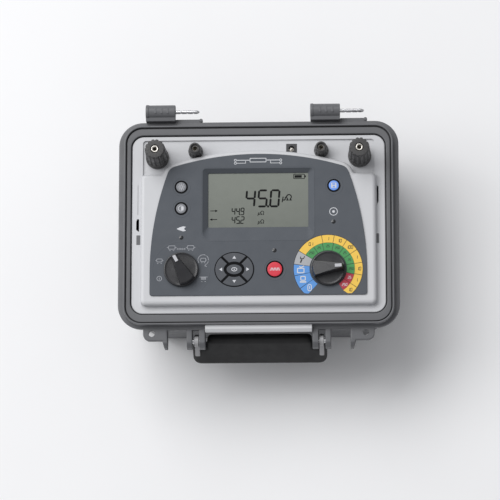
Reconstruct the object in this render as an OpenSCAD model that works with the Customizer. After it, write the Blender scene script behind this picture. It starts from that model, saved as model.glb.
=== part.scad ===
// Four-terminal low resistance tester in a rugged case base, lid slid off its hinge pins.
// Millimetres. X runs left to right, Y runs front to back, Z is up from the soles of the feet.
// The origin is at the middle of the overall footprint.

/* [Case] */
// Width of the rim, left to right
rim_w = 315; // [305:1:325]
// Depth of the rim, front to back
rim_d = 236.9; // [230:0.1:240]
// Height of the rim's top face above the floor
rim_top = 125; // [120:1:132]
// Corner radius of the rim in plan
rim_r = 27; // [25:1:30]
// Thickness of the moulded case wall
wall = 3.5; // [2.5:0.1:4.5]

/* [Panel] */
// Width of the panel moulding
panel_w = 284; // [280:1:284]
// Depth of the panel moulding
panel_d = 202.9; // [199:0.1:203.5]
// Corner radius of the panel in plan
panel_r = 13; // [12:1:15]
// Height of the raised platform above the panel's flange
platform_h = 9; // [8:0.5:10]
// Thickness of the printed facia
facia_t = 1.5; // [1:0.1:2]

/* [Display] */
// Width of the visible display glass
glass_w = 112; // [104:1:114]
// Height of the visible display glass, along Y
glass_d = 61.9; // [58:0.1:63]
// Depth of the glass below the facia
glass_drop = 5; // [4:0.5:5.5]

/* [Controls] */
// Radius of both rotary knobs
knob_r = 19.4; // [17:0.1:20]
// Height of both rotary knobs above the facia
knob_h = 16; // [12:0.5:20]
// Direction of the mode knob's pointer, anticlockwise from +X
mode_angle = 119; // [90:1:150]
// Direction of the range knob's pointer, anticlockwise from +X
range_angle = 3.6; // [-10:0.1:20]
// How far a key travels when pressed
key_travel = 0.9; // [0.6:0.1:1.1]

/* [Terminals] */
// Radius of a 4 mm socket's bore
socket_r = 2.0; // [2.0:0.05:2.05]
// Height of the current terminals above the rim
big_post_h = 39; // [32:1:42]
// Height of the potential terminals above the rim
small_post_h = 14; // [13:1:22]

/* [Hinges and handle] */
// Radius of the lid's hinge pins
pin_r = 2.15; // [1.8:0.05:2.5]
// Free length of each hinge pin
pin_free = 27; // [20:1:28]
// Tilt of the folded handle from the vertical
handle_tilt = 30; // [29:1:31]
// Width of the handle's grip
grip_w = 151; // [144:1:152]
// Radius of the padlock holes
padlock_r = 3.5; // [3:0.1:4]

/* [Hidden] */
$fn = 96;
HULL_FN = 32;
CUT = 0.05;

// Case, in plan and in height
rim_y = 5.65;
rim_front = rim_y - rim_d / 2;
rim_back = rim_y + rim_d / 2;
rim_deep = 15;
shelf_z = rim_top - 8.6;
base_z = 3.2;
floor_z = base_z + wall;
body_inset_top = 6;
body_inset_base = 8.5;
body_r = 25;
body_base_r = 46;
panel_y = 4.9;
open_gap = 1.2;
seat_w = 11;
seat_back = 7;
ledge_drop = 2;

// The ridge on the rim that meets the lid, and the seal's groove inside it
ridge_side = 6.4;
ridge_front = 3.3;
ridge_back = 5.7;
ridge_t = 2;
groove_w = 1.4;
groove_floor = rim_top - 5.5;

// Panel levels
flange_z = rim_top - 4;
flange_t = 4;
seat_z = flange_z - flange_t - 1;
channel_z = flange_z - 2;
plat_z = flange_z + platform_h;
plat_t = 3;
facia_z = plat_z + facia_t;
plat_w = 259;
plat_front = -84.5;
plat_step = 59.3;
plat_margin = 5;
channel_w = 261;
channel_back = 102.3;

// The facia's outline, made of four arcs a side
face_top = 83.2;
face_front = -78.2;
face_side = 121;
top_arc_r = 322;
side_arc_r = 335;
side_arc_y = -51.2;
corner_arc_r = 12;
foot_arc_r = 3;

// Display
glass_y = 30.9;
glass_z = facia_z - glass_drop;
window_t = 1.5;
recess_w = 124;
recess_front = -15.3;
recess_back = 66.6;
bezel_edge = 1.5;

// Keys: where each round key stands, its cap radius and its collar radius
small_cap_r = 5.7;
small_collar_r = 7.7;
test_cap_r = 8.2;
test_collar_r = 10;
ROUND_KEYS = [
    [-86, 45.6, small_cap_r, small_collar_r],
    [-86, 21.0, small_cap_r, small_collar_r],
    [84.7, 45.9, small_cap_r, small_collar_r],
    [18.5, -49.0, test_cap_r, test_collar_r]
];
key_gap = 0.3;
key_top = facia_z + 0.8;
key_foot = facia_z - 6.9;
pad_x = -26.5;
pad_y = -48.9;
pad_rx = 22.3;
pad_ry = 20;
ok_rx = 8.6;
ok_ry = 5.7;
pad_line = 1.1;
led_r = 2.7;
LEDS = [[-85.7, -12.2], [84.2, 4.6], [18.3, -27.6]];

// Knobs
mode_x = -85.8;
range_x = 77.9;
knob_y = -48.8;
knob_gap = 0.5;
skirt_h = 4;
shaft_r = 3;
bush_r = 5;
switch_r = 15;

// Boards behind the panel
front_board_z = facia_z - 12.5;
board_t = 1.6;

// Terminals
big_x = 113.7;
big_y = 82.2;
small_x = 70.7;
small_y = 89;
big_stud_r = 4.1;
small_stud_r = 3.2;
run_gap = 0.05;
nut_slack = 0.4;
washer_slack = 0.5;
body_gap = 0.3;
washer_t = 1;
jack_x = 37.2;
jack_y = 92;

// Hinges at the back
hinge_y = 134.75;
hinge_z = rim_top - 4;
barrel_r = 8;
barrel_len = 33.5;
BARREL_X = [-127, 58.5];

// Brackets and handle at the front
tab_z = rim_top - 15;
tab_t = 6;
tab_x = 119.3;
tab_y = -118;
tab_front = -126.3;
INNER_EAR = [59.8, 66.5];
MIDDLE_EAR = [74.2, 80.4];
OUTER_EAR = [102, 109.5];
pivot_y = -125.8;
pivot_z = rim_top - 18;
pivot_r = 2.5;
arm_x = 69.7;
arm_w = 5.2;
grip_l = 42.1;
grip_t = 13;
grip_r = 5;
grip_in = 5.5;
grip_up = 6;
grip_neck = 118;
grip_shoulder = 13;

// Inside
PILLARS = [[-124, -62], [124, -62], [-124, 66], [124, 66]];
pillar_r = 5;
pillar_foot = 14;
screw_r = 2.2;
main_board_z = 22;
BOARD_HOLES = [[-108, -22], [50, -22], [-108, 66], [50, 66]];

// ---------- shared shapes ----------

module round_rect(w, d, r) {
    square([w - 2 * r, d], center = true);
    square([w, d - 2 * r], center = true);
    for (x = [-1, 1], y = [-1, 1])
        translate([x * (w / 2 - r), y * (d / 2 - r)])
            circle(r = r);
}

module slab(w, d, r, y, z0, z1) {
    translate([0, y, z0])
        linear_extrude(z1 - z0)
            round_rect(w, d, r);
}

module block(x, y, z) {
    translate([x[0], y[0], z[0]])
        cube([x[1] - x[0], y[1] - y[0], z[1] - z[0]]);
}

module rod(x, y, z0, z1, r) {
    translate([x, y, z0])
        cylinder(r = r, h = z1 - z0);
}

module rod_x(x0, x1, y, z, r) {
    translate([x0, y, z])
        rotate([0, 90, 0])
            cylinder(r = r, h = x1 - x0);
}

module both_sides() {
    children();
    mirror([1, 0, 0])
        children();
}

function arc(c, r, a0, a1, n) =
    [for (i = [0 : n]) let (a = a0 + (a1 - a0) * i / n) c + r * [cos(a), sin(a)]];

function outer_meet(a, ra, b, rb) =
    let (
        d = norm(b - a),
        u = (b - a) / d,
        k = (d * d + ra * ra - rb * rb) / (2 * d),
        h = sqrt(ra * ra - k * k)
    )
    a + k * u + h * [u[1], -u[0]];

function heading(v) = atan2(v[1], v[0]);

// The facia's outline, grown outwards by g
function face_points(g) =
    let (
        top_c = [0, face_top - top_arc_r],
        side_c = [face_side - side_arc_r, side_arc_y],
        corner_c = outer_meet(top_c, top_arc_r - corner_arc_r, side_c, side_arc_r - corner_arc_r),
        a_top = heading(corner_c - top_c),
        a_side = heading(corner_c - side_c),
        foot_r = max(foot_arc_r + g, 1),
        foot_c = [face_side + g - foot_r, face_front - g + foot_r],
        half = concat(
            arc(top_c, top_arc_r + g, 90, a_top, 16),
            arc(corner_c, corner_arc_r + g, a_top, a_side, 12),
            arc(side_c, side_arc_r + g, a_side, 0, 16),
            arc(foot_c, foot_r, 0, -90, 6)
        ),
        last = len(half) - 1
    )
    concat(half, [for (i = [last : -1 : 1]) [-half[i][0], half[i][1]]]);

module face_plate(g, z0, z1) {
    translate([0, 0, z0])
        linear_extrude(z1 - z0)
            polygon(face_points(g));
}

module ellipse_shape(rx, ry) {
    polygon([for (i = [0 : 71]) [rx * cos(5 * i), ry * sin(5 * i)]]);
}

// One arrow key: a quarter of the oval pad, between the two diagonals
module arrow_shape(turn) {
    reach = 2 * pad_rx;
    intersection() {
        difference() {
            ellipse_shape(pad_rx - pad_line, pad_ry - pad_line);
            ellipse_shape(ok_rx + 2.6 * pad_line, ok_ry + 2.6 * pad_line);
        }
        rotate(turn)
            translate([1.5 * pad_line, 0])
                polygon([[0, 0], [reach, -reach], [reach, reach]]);
    }
}

module arrow_key(turn) {
    translate([pad_x, pad_y, key_foot])
        linear_extrude(key_top - key_foot)
            arrow_shape(turn);
}

module round_key(i) {
    key = ROUND_KEYS[i];
    rod(key[0], key[1], key_foot, key_top, key[2]);
}

// ---------- case ----------

module body_hull(inset, z0, z1) {
    hull() {
        slab(rim_w - 2 * (body_inset_base + inset), rim_d - 2 * (body_inset_base + inset),
            body_base_r - inset, rim_y, z0, z0 + 1, $fn = HULL_FN);
        slab(rim_w - 2 * (body_inset_top + inset), rim_d - 2 * (body_inset_top + inset),
            body_r - inset, rim_y, z1 - 1, z1, $fn = HULL_FN);
    }
}

// A slab whose edge lies the given distance inside the ridge's outer face
module ridge_slab(in, z0, z1) {
    slab(rim_w - 2 * (ridge_side + in), rim_d - ridge_front - ridge_back - 2 * in, rim_r - ridge_side - in,
        rim_y + (ridge_front - ridge_back) / 2, z0, z1);
}

// The opening inside the panel's seat, which is narrower along the back than elsewhere
module seat_hole(out, r, z0, z1) {
    slab(panel_w - 2 * (seat_w - out), panel_d - seat_w - seat_back + 2 * out, r,
        panel_y + (seat_w - seat_back) / 2, z0, z1);
}

module groove_ring(z0, z1, slack) {
    difference() {
        ridge_slab(ridge_t + slack, z0, z1);
        ridge_slab(ridge_t + groove_w - slack, z0 - CUT, z1 + CUT);
    }
}

module ear(span) {
    translate([span[0], 0, 0])
        rotate([90, 0, 90])
            linear_extrude(span[1] - span[0])
                polygon([
                    [rim_front + 2, tab_z + tab_t], [-129, tab_z + tab_t], [-133.6, 111.5], [-134.8, 105],
                    [-133.5, 98], [-130, 94.5], [-120, 95], [-113, 97.4], [-103.5, 66],
                    [-104, tab_z]
                ]);
}

module padlock_tab() {
    corner = 8;
    translate([0, 0, tab_z])
        linear_extrude(tab_t)
            difference() {
                union() {
                    translate([OUTER_EAR[0], tab_front + corner])
                        square([129 - OUTER_EAR[0], rim_front + 4 - tab_front - corner]);
                    translate([OUTER_EAR[0], tab_front])
                        square([129 - corner - OUTER_EAR[0], corner + 1]);
                    translate([129 - corner, tab_front + corner])
                        circle(r = corner);
                }
                translate([tab_x, tab_y])
                    circle(r = padlock_r);
            }
}

module front_bracket() {
    padlock_tab();
    ear(OUTER_EAR);
    ear(MIDDLE_EAR);
    ear(INNER_EAR);
    block([INNER_EAR[0], OUTER_EAR[1]], [-114.5, rim_front + 4], [tab_z, tab_z + tab_t]);
}

module hinge_knuckle(x0) {
    x1 = x0 + barrel_len;
    rod_x(x0, x1, hinge_y, hinge_z, barrel_r);
    rod_x(x0, x0 + 3.5, hinge_y, hinge_z, barrel_r + 0.5);
    block([x0, x1], [rim_back - 3, hinge_y], [hinge_z - barrel_r, shelf_z - 0.4]);
    block([x0, x1], [rim_back - 0.4, hinge_y], [hinge_z - barrel_r, hinge_z + 3]);
    block([x1 - 1, x1 + pin_free + 3], [rim_back - 3, rim_back + 3.4], [hinge_z - 9, hinge_z - 5]);
    rod(x1 + pin_free + 1.5, rim_back + 2, hinge_z - 9, hinge_z - 3.6, 2);
}

module case_base() {
    color([0.45, 0.45, 0.47])
        difference() {
            union() {
                body_hull(0, base_z, rim_top - rim_deep + 1);
                slab(rim_w, rim_d, rim_r, rim_y, rim_top - rim_deep, shelf_z);
                ridge_slab(0, shelf_z - 1, rim_top);
                both_sides()
                    front_bracket();
                block([-INNER_EAR[0] - 1, INNER_EAR[0] + 1], [-115, rim_front + 4], [tab_z, tab_z + tab_t]);
                for (x = BARREL_X)
                    hinge_knuckle(x);
            }
            difference() {
                body_hull(wall, floor_z, rim_top - rim_deep + 0.5);
                for (p = PILLARS)
                    rod(p[0], p[1], floor_z - 1, pillar_foot, pillar_r + 2);
            }
            slab(panel_w + 2 * open_gap, panel_d + 2 * open_gap, panel_r + open_gap, panel_y,
                seat_z, rim_top + CUT);
            seat_hole(0, 6, rim_top - rim_deep, seat_z + CUT);
            groove_ring(groove_floor, rim_top + CUT, 0);
            ridge_slab(ridge_t + groove_w / 2, rim_top - ledge_drop, rim_top + CUT);
            for (p = PILLARS) {
                rod(p[0], p[1], base_z - CUT, pillar_foot + CUT, screw_r + 0.3);
                rod(p[0], p[1], base_z - CUT, base_z + 4, 4.6);
            }
            for (x = BARREL_X)
                rod_x(x + 12, x + barrel_len + CUT, hinge_y, hinge_z, pin_r);
            both_sides()
                rod_x(INNER_EAR[0] - CUT, MIDDLE_EAR[1] + CUT, pivot_y, pivot_z, pivot_r);
        }
}

module rim_gasket() {
    color([0.16, 0.16, 0.17])
        groove_ring(groove_floor, groove_floor + 2, 0.1);
}

module hinge_pins() {
    tip = 3;
    color([0.8, 0.8, 0.82])
        for (x = BARREL_X)
            translate([x + 12.2, hinge_y, hinge_z])
                rotate([0, 90, 0]) {
                    cylinder(r = pin_r, h = barrel_len - 12.2 + pin_free - tip);
                    translate([0, 0, barrel_len - 12.2 + pin_free - tip])
                        cylinder(r1 = pin_r, r2 = 1, h = tip);
                }
}

module chin_plate() {
    half = INNER_EAR[0] - body_gap;
    color([0.77, 0.77, 0.79])
        translate([-half, 0, 0])
            rotate([90, 0, 90])
                linear_extrude(2 * half)
                    polygon([
                        [rim_front + ridge_front - 0.1, shelf_z + 0.1], [rim_front + ridge_front - 0.1, 121.5],
                        [-114, 121.5], [-117.4, 118.6], [-117.4, shelf_z + 0.1]
                    ]);
}

module handle_pins() {
    color([0.7, 0.7, 0.72])
        both_sides()
            rod_x(INNER_EAR[0] + 0.2, MIDDLE_EAR[1] - 0.2, pivot_y, pivot_z, pivot_r);
}

module rubber_feet() {
    color([0.12, 0.12, 0.12])
        for (x = [-112, 112], y = [-72, 84])
            rod(x, y, 0, base_z, 9);
}

module case_screws() {
    color([0.6, 0.6, 0.62])
        for (p = PILLARS) {
            rod(p[0], p[1], base_z + 1, base_z + 4, 4.3);
            rod(p[0], p[1], base_z + 4, 30, screw_r);
        }
}

// ---------- panel ----------

module platform_shape(shrink) {
    side_d = plat_step - plat_front;
    polygon(face_points(plat_margin - shrink));
    translate([0, (plat_step + plat_front) / 2])
        round_rect(plat_w - 2 * shrink, side_d - 2 * shrink, 5);
}

module at_posts() {
    for (s = [-1, 1]) {
        translate([s * big_x, big_y, 0])
            children(0);
        translate([s * small_x, small_y, 0])
            children(1);
    }
}

module panel_cuts() {
    bezel_w = recess_w + 2 * bezel_edge + 0.4;
    bezel_d = recess_back - recess_front + 2 * bezel_edge + 0.4;
    slab(bezel_w, bezel_d, 8, (recess_back + recess_front) / 2, plat_z - 6, facia_z + 1);
    for (key = ROUND_KEYS)
        rod(key[0], key[1], plat_z - 6, facia_z + 1, key[3]);
    translate([pad_x, pad_y, plat_z - 6])
        linear_extrude(9)
            ellipse_shape(pad_rx, pad_ry);
    for (led = LEDS)
        rod(led[0], led[1], plat_z - 6, facia_z + 1, led_r);
    for (x = [mode_x, range_x])
        rod(x, knob_y, plat_z - 6, facia_z + 1, bush_r);
}

module panel() {
    color([0.83, 0.83, 0.84])
        difference() {
            union() {
                slab(panel_w, panel_d, panel_r, panel_y, flange_z - flange_t, flange_z);
                translate([0, 0, flange_z - flange_t])
                    linear_extrude(plat_z - flange_z + flange_t)
                        platform_shape(0);
                for (p = PILLARS)
                    rod(p[0], p[1], pillar_foot, flange_z - 1, pillar_r);
            }
            difference() {
                slab(channel_w, channel_back - plat_step, 4, (channel_back + plat_step) / 2,
                    channel_z, flange_z + CUT);
                translate([0, 0, channel_z - 1])
                    linear_extrude(5)
                        platform_shape(0);
            }
            translate([0, 0, flange_z - flange_t - CUT])
                linear_extrude(plat_z - plat_t - flange_z + flange_t + CUT)
                    polygon(face_points(plat_margin - 4));
            panel_cuts();
            at_posts() {
                rod(0, 0, flange_z - 6, flange_z + 1, 6.1);
                rod(0, 0, flange_z - 6, flange_z + 1, 5.1);
            }
            block([jack_x - 6, jack_x + 6], [jack_y - 5.3, jack_y + 5.3], [flange_z - 6, flange_z + 1]);
            block([-136, -134.6], [16, 51], [flange_z - 6, flange_z + 1]);
            block([-137.6, -133.4], [-4, 12], [flange_z - 6, flange_z + 1]);
            block([132.2, 135], [27, 48], [flange_z - 6, flange_z + 1]);
            for (p = PILLARS)
                rod(p[0], p[1], pillar_foot - CUT, 34, screw_r);
        }
}

module panel_gasket() {
    color([0.1, 0.1, 0.1])
        difference() {
            slab(panel_w, panel_d, panel_r, panel_y, seat_z, flange_z - flange_t);
            seat_hole(1.5, 7.5, seat_z - CUT, flange_z);
        }
}

module facia_overlay() {
    color([0.3, 0.32, 0.35])
        difference() {
            face_plate(0, plat_z, facia_z);
            panel_cuts();
        }
}

module display_bezel() {
    w = recess_w + 2 * bezel_edge;
    d = recess_back - recess_front + 2 * bezel_edge;
    mid = (recess_back + recess_front) / 2;
    color([0.3, 0.32, 0.35])
        difference() {
            slab(w, d, 8, mid, glass_z - window_t - 1, facia_z);
            hull() {
                slab(recess_w, recess_back - recess_front, 7, mid, facia_z, facia_z + 0.1, $fn = HULL_FN);
                slab(glass_w, glass_d, 2, glass_y, glass_z - CUT, glass_z, $fn = HULL_FN);
            }
            slab(glass_w, glass_d, 2, glass_y, glass_z - 3, glass_z + CUT);
            slab(glass_w + 4, glass_d + 4, 2, glass_y, glass_z - window_t - 2, glass_z);
        }
}

module display_window() {
    color([0.75, 0.78, 0.75, 0.4])
        slab(glass_w + 3.6, glass_d + 3.6, 2, glass_y, glass_z - window_t, glass_z);
}

module lcd_module() {
    color([0.5, 0.52, 0.48])
        slab(glass_w + 3, glass_d + 3, 1, glass_y, front_board_z - 1, glass_z - window_t);
}

module front_board() {
    color([0.1, 0.4, 0.2])
        difference() {
            face_plate(-4, front_board_z, front_board_z + board_t);
            slab(glass_w + 4, glass_d + 4, 1, glass_y, front_board_z - 1, front_board_z + 3);
            for (x = [mode_x, range_x])
                rod(x, knob_y, front_board_z - 1, front_board_z + 3, bush_r);
        }
}

module key_switches() {
    z0 = front_board_z + board_t;
    z1 = key_foot - key_travel - 0.1;
    color([0.75, 0.7, 0.5]) {
        for (key = ROUND_KEYS)
            rod(key[0], key[1], z0, z1, 3);
        rod(pad_x, pad_y, z0, z1, 3);
        for (s = [-1, 1]) {
            rod(pad_x + s * 16, pad_y, z0, z1, 3);
            rod(pad_x, pad_y + s * 13.5, z0, z1, 3);
        }
    }
}

module keypad_membrane() {
    z0 = plat_z - plat_t - 1.5;
    z1 = plat_z - plat_t;
    top = facia_z + 0.2;
    color([0.07, 0.07, 0.08])
        difference() {
            union() {
                difference() {
                    face_plate(-2, z0, z1);
                    slab(recess_w + 6, recess_back - recess_front + 6, 6,
                        (recess_back + recess_front) / 2, z0 - 1, z1 + 1);
                    for (x = [mode_x, range_x])
                        rod(x, knob_y, z0 - 1, z1 + 1, bush_r + 0.5);
                }
                for (key = ROUND_KEYS)
                    rod(key[0], key[1], z0, top, key[3] - 0.05);
                translate([pad_x, pad_y, z0])
                    linear_extrude(top - z0)
                        ellipse_shape(pad_rx - 0.05, pad_ry - 0.05);
            }
            for (key = ROUND_KEYS)
                rod(key[0], key[1], z0 - 1, top + 1, key[2] + key_gap);
            translate([pad_x, pad_y, z0 - 1])
                linear_extrude(top - z0 + 2) {
                    ellipse_shape(ok_rx + key_gap, ok_ry + key_gap);
                    for (turn = [0 : 90 : 270])
                        offset(delta = key_gap)
                            arrow_shape(turn);
                }
            for (led = LEDS)
                rod(led[0], led[1], z0 - 1, top + 1, led_r);
        }
}

module status_leds() {
    z0 = front_board_z + board_t;
    color([0.05, 0.05, 0.06])
        for (led = LEDS) {
            rod(led[0], led[1], z0, facia_z, led_r - 0.1);
            rod(led[0], led[1], facia_z, facia_z + 0.6, led_r - 0.5);
        }
}

// ---------- knobs ----------

module rotary_switch(x) {
    color([0.2, 0.2, 0.22])
        difference() {
            union() {
                rod(x, knob_y, front_board_z - 18, front_board_z, switch_r);
                rod(x, knob_y, front_board_z - 1, facia_z, bush_r - 0.1);
            }
            rod(x, knob_y, front_board_z - 15, facia_z + 1, shaft_r + run_gap);
        }
}

module mode_switch() {
    rotary_switch(mode_x);
}

module range_switch() {
    rotary_switch(range_x);
}

module pointer_slot(slack) {
    translate([7.5, -1.7 - slack, knob_h - 1.2])
        cube([7.6, 3.4 + 2 * slack, 4]);
}

module knob(x, turn) {
    color([0.1, 0.1, 0.11])
        translate([x, knob_y, facia_z])
            rotate(turn)
                difference() {
                    union() {
                        translate([0, 0, knob_gap])
                            cylinder(r = knob_r, h = skirt_h);
                        intersection() {
                            translate([0, 0, skirt_h])
                                linear_extrude(knob_h - skirt_h)
                                    polygon([[17, -3.4], [17, 3.4], [-19, 10.5], [-19, -10.5]]);
                            cylinder(r = knob_r - 1, h = knob_h);
                        }
                    }
                    translate([0, 0, -1])
                        cylinder(r = shaft_r, h = 10);
                    pointer_slot(0);
                }
}

module pointer(x, turn) {
    color([0.85, 0.85, 0.87])
        translate([x, knob_y, facia_z])
            rotate(turn)
                intersection() {
                    pointer_slot(0);
                    cylinder(r = knob_r - 1, h = knob_h + 0.3);
                }
}

module shaft(x) {
    color([0.75, 0.75, 0.77])
        rod(x, knob_y, front_board_z - 14.5, facia_z + 9, shaft_r);
}

module mode_knob() {
    knob(mode_x, mode_angle);
}

module mode_pointer() {
    pointer(mode_x, mode_angle);
}

module mode_shaft() {
    shaft(mode_x);
}

module range_knob() {
    knob(range_x, range_angle);
}

module range_pointer() {
    pointer(range_x, range_angle);
}

module range_shaft() {
    shaft(range_x);
}

// ---------- keys ----------

module key_backlight() {
    color([0.4, 0.42, 0.45])
        round_key(0);
}

module key_contrast() {
    color([0.4, 0.42, 0.45])
        round_key(1);
}

module key_save() {
    color([0.45, 0.6, 0.9])
        round_key(2);
}

module key_test() {
    color([0.8, 0.2, 0.22])
        round_key(3);
}

module key_right() {
    color([0.3, 0.31, 0.34])
        arrow_key(0);
}

module key_up() {
    color([0.3, 0.31, 0.34])
        arrow_key(90);
}

module key_left() {
    color([0.3, 0.31, 0.34])
        arrow_key(180);
}

module key_down() {
    color([0.3, 0.31, 0.34])
        arrow_key(270);
}

module key_ok() {
    color([0.3, 0.31, 0.34])
        translate([pad_x, pad_y, key_foot])
            linear_extrude(key_top - key_foot)
                ellipse_shape(ok_rx, ok_ry);
}

// ---------- terminals ----------

module post_base(r, h, neck_r, hole_r) {
    difference() {
        union() {
            rod(0, 0, channel_z, channel_z + h, r);
            rod(0, 0, flange_z - 11, channel_z + 1, neck_r);
        }
        rod(0, 0, flange_z - 12, channel_z + h + 1, hole_r);
    }
}

module terminal_bases() {
    color([0.12, 0.12, 0.12])
        at_posts() {
            post_base(13, 6, 6, big_stud_r);
            post_base(8.2, 2.5, 5, small_stud_r);
        }
}

module stud(r, top) {
    bore_deep = 20;
    difference() {
        rod(0, 0, 104, top, r);
        rod(0, 0, top - bore_deep, top + CUT, socket_r);
    }
}

module terminal_studs() {
    color([0.78, 0.74, 0.66])
        at_posts() {
            stud(big_stud_r, rim_top + big_post_h - 0.4);
            stud(small_stud_r, rim_top + small_post_h - 2.5);
        }
}

module terminal_backnuts() {
    color([0.7, 0.7, 0.72])
        at_posts() {
            difference() {
                translate([0, 0, flange_z - flange_t - 4])
                    cylinder(r = 10, h = 4, $fn = 6);
                rod(0, 0, flange_z - 12, flange_z, 6);
            }
            difference() {
                translate([0, 0, flange_z - flange_t - 4])
                    cylinder(r = 8.5, h = 4, $fn = 6);
                rod(0, 0, flange_z - 12, flange_z, 5);
            }
        }
}

module fluted_nut(z0, z1, r_low, r_top, bore_r, mouth_r, flutes, flute_r) {
    difference() {
        translate([0, 0, z0])
            cylinder(r1 = r_low, r2 = r_top, h = z1 - z0);
        rod(0, 0, z0 - 1, z1 + 1, bore_r);
        rod(0, 0, z1 - 2, z1 + 1, mouth_r);
        for (i = [0 : flutes - 1])
            rotate(i * 360 / flutes)
                rod(r_low + 0.3, 0, z0 + 5, z1 + 1, flute_r, $fn = 24);
    }
}

big_washer_z = channel_z + 6 + body_gap;
small_washer_z = channel_z + 2.5 + body_gap;

module big_nut() {
    color([0.14, 0.14, 0.14])
        fluted_nut(big_washer_z + washer_t + body_gap, rim_top + big_post_h, 12.6, 11.2,
            big_stud_r + nut_slack, big_stud_r + 1.1, 14, 2.1);
}

module small_nut() {
    color([0.14, 0.14, 0.14])
        fluted_nut(small_washer_z + washer_t + body_gap, rim_top + small_post_h, 8, 6.2,
            small_stud_r + nut_slack, small_stud_r + 1.3, 12, 1.3);
}

module washer(z, r, hole_r) {
    color([0.7, 0.7, 0.72])
        difference() {
            rod(0, 0, z, z + washer_t, r);
            rod(0, 0, z - 1, z + 3, hole_r);
        }
}

module c1_nut() {
    translate([-big_x, big_y, 0])
        big_nut();
}

module c2_nut() {
    translate([big_x, big_y, 0])
        big_nut();
}

module p1_nut() {
    translate([-small_x, small_y, 0])
        small_nut();
}

module p2_nut() {
    translate([small_x, small_y, 0])
        small_nut();
}

module c1_washer() {
    translate([-big_x, big_y, 0])
        washer(big_washer_z, 11.5, big_stud_r + washer_slack);
}

module c2_washer() {
    translate([big_x, big_y, 0])
        washer(big_washer_z, 11.5, big_stud_r + washer_slack);
}

module p1_washer() {
    translate([-small_x, small_y, 0])
        washer(small_washer_z, 7.6, small_stud_r + washer_slack);
}

module p2_washer() {
    translate([small_x, small_y, 0])
        washer(small_washer_z, 7.6, small_stud_r + washer_slack);
}

module dc_jack() {
    color([0.2, 0.2, 0.21]) {
        difference() {
            block([jack_x - 5.9, jack_x + 5.9], [jack_y - 5.2, jack_y + 5.2], [104, channel_z + 0.6]);
            rod(jack_x, jack_y - 0.6, 108, flange_z + 1, 3.6);
        }
        rod(jack_x, jack_y - 0.6, 107, channel_z - 1, 1.05);
    }
}

// ---------- inside ----------

module main_board() {
    color([0.1, 0.4, 0.2])
        difference() {
            block([-114, 56], [-28, 72], [main_board_z, main_board_z + board_t]);
            for (p = BOARD_HOLES)
                rod(p[0], p[1], main_board_z - 1, main_board_z + 3, 1.6);
        }
}

module board_standoffs() {
    color([0.75, 0.65, 0.35])
        for (p = BOARD_HOLES)
            difference() {
                rod(p[0], p[1], floor_z, main_board_z, 3.5);
                rod(p[0], p[1], main_board_z - 8, main_board_z + 1, 1.5);
            }
}

module board_screws() {
    color([0.7, 0.7, 0.72])
        for (p = BOARD_HOLES) {
            rod(p[0], p[1], main_board_z + board_t, main_board_z + board_t + 2, 2.8);
            rod(p[0], p[1], main_board_z - 6, main_board_z + board_t, 1.5);
        }
}

module battery_pack() {
    color([0.2, 0.35, 0.6])
        block([-70, 80], [-84, -42], [floor_z, floor_z + 52]);
}

module battery_bracket() {
    side = 1.5;
    top = floor_z + 52;
    color([0.7, 0.7, 0.72])
        for (x = [-40, 40]) {
            block([x, x + 12], [-84 - side, -42 + side], [top, top + side]);
            block([x, x + 12], [-84 - side, -84], [floor_z, top]);
            block([x, x + 12], [-42, -42 + side], [floor_z, top]);
        }
}

module power_module() {
    fins = 7;
    pitch = 5;
    color([0.25, 0.25, 0.27]) {
        block([74, 112], [-24, 74], [floor_z, floor_z + 30]);
        for (i = [0 : fins - 1])
            block([76 + i * pitch, 78 + i * pitch], [-24, 74], [floor_z + 29, floor_z + 46]);
    }
}

module output_choke() {
    color([0.7, 0.4, 0.15])
        translate([-70, 34, main_board_z + board_t + 11])
            rotate_extrude()
                translate([15, 0])
                    square([10, 22], center = true);
}

module current_shunt() {
    z = main_board_z + board_t;
    color([0.72, 0.45, 0.3]) {
        block([-10, 6], [30, 52], [z, z + 10]);
        block([28, 44], [30, 52], [z, z + 10]);
        block([5, 29], [38, 40], [z + 2, z + 9]);
        block([5, 29], [43, 45], [z + 2, z + 9]);
    }
}

module current_busbars() {
    run_z = 66;
    color([0.75, 0.45, 0.3])
        for (s = [-1, 1]) {
            block([s * big_x - 7, s * big_x + 7], [75, 89], [102, 104]);
            block([s * big_x - 7, s * big_x + 7], [87, 89], [run_z, 102.5]);
            block([min(s * big_x - 7, 80), max(s * big_x + 7, 100)], [77, 89], [run_z - 2, run_z]);
        }
}

// ---------- handle ----------

module handle_place() {
    translate([0, pivot_y, pivot_z])
        rotate([-handle_tilt, 0, 0])
            children();
}

module tilted_plate(w, l, t, r, z_top) {
    translate([-w / 2, grip_in + t / 2, z_top - l / 2])
        rotate([90, 0, 90])
            linear_extrude(w)
                round_rect(t, l, r);
}

module frame_solid() {
    both_sides() {
        rod_x(arm_x - arm_w / 2, arm_x + arm_w / 2, 0, 0, 6);
        block([arm_x - arm_w / 2, arm_x + arm_w / 2], [2, 13], [-29, 0]);
        block([arm_x - arm_w / 2, arm_x + arm_w / 2], [9, 15], [-38, -20]);
    }
    block([-arm_x, arm_x], [9, 15], [-38, -30]);
}

module handle_frame() {
    color([0.62, 0.62, 0.63])
        handle_place()
            difference() {
                frame_solid();
                both_sides()
                    rod_x(arm_x - arm_w, arm_x + arm_w, 0, 0, pivot_r + run_gap);
            }
}

module handle_grip() {
    color([0.07, 0.07, 0.07])
        handle_place()
            difference() {
                union() {
                    tilted_plate(grip_w, grip_l - grip_shoulder, grip_t, grip_r, -grip_up - grip_shoulder);
                    tilted_plate(grip_neck, grip_l, grip_t, grip_r, -grip_up);
                }
                frame_solid();
            }
}

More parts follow.
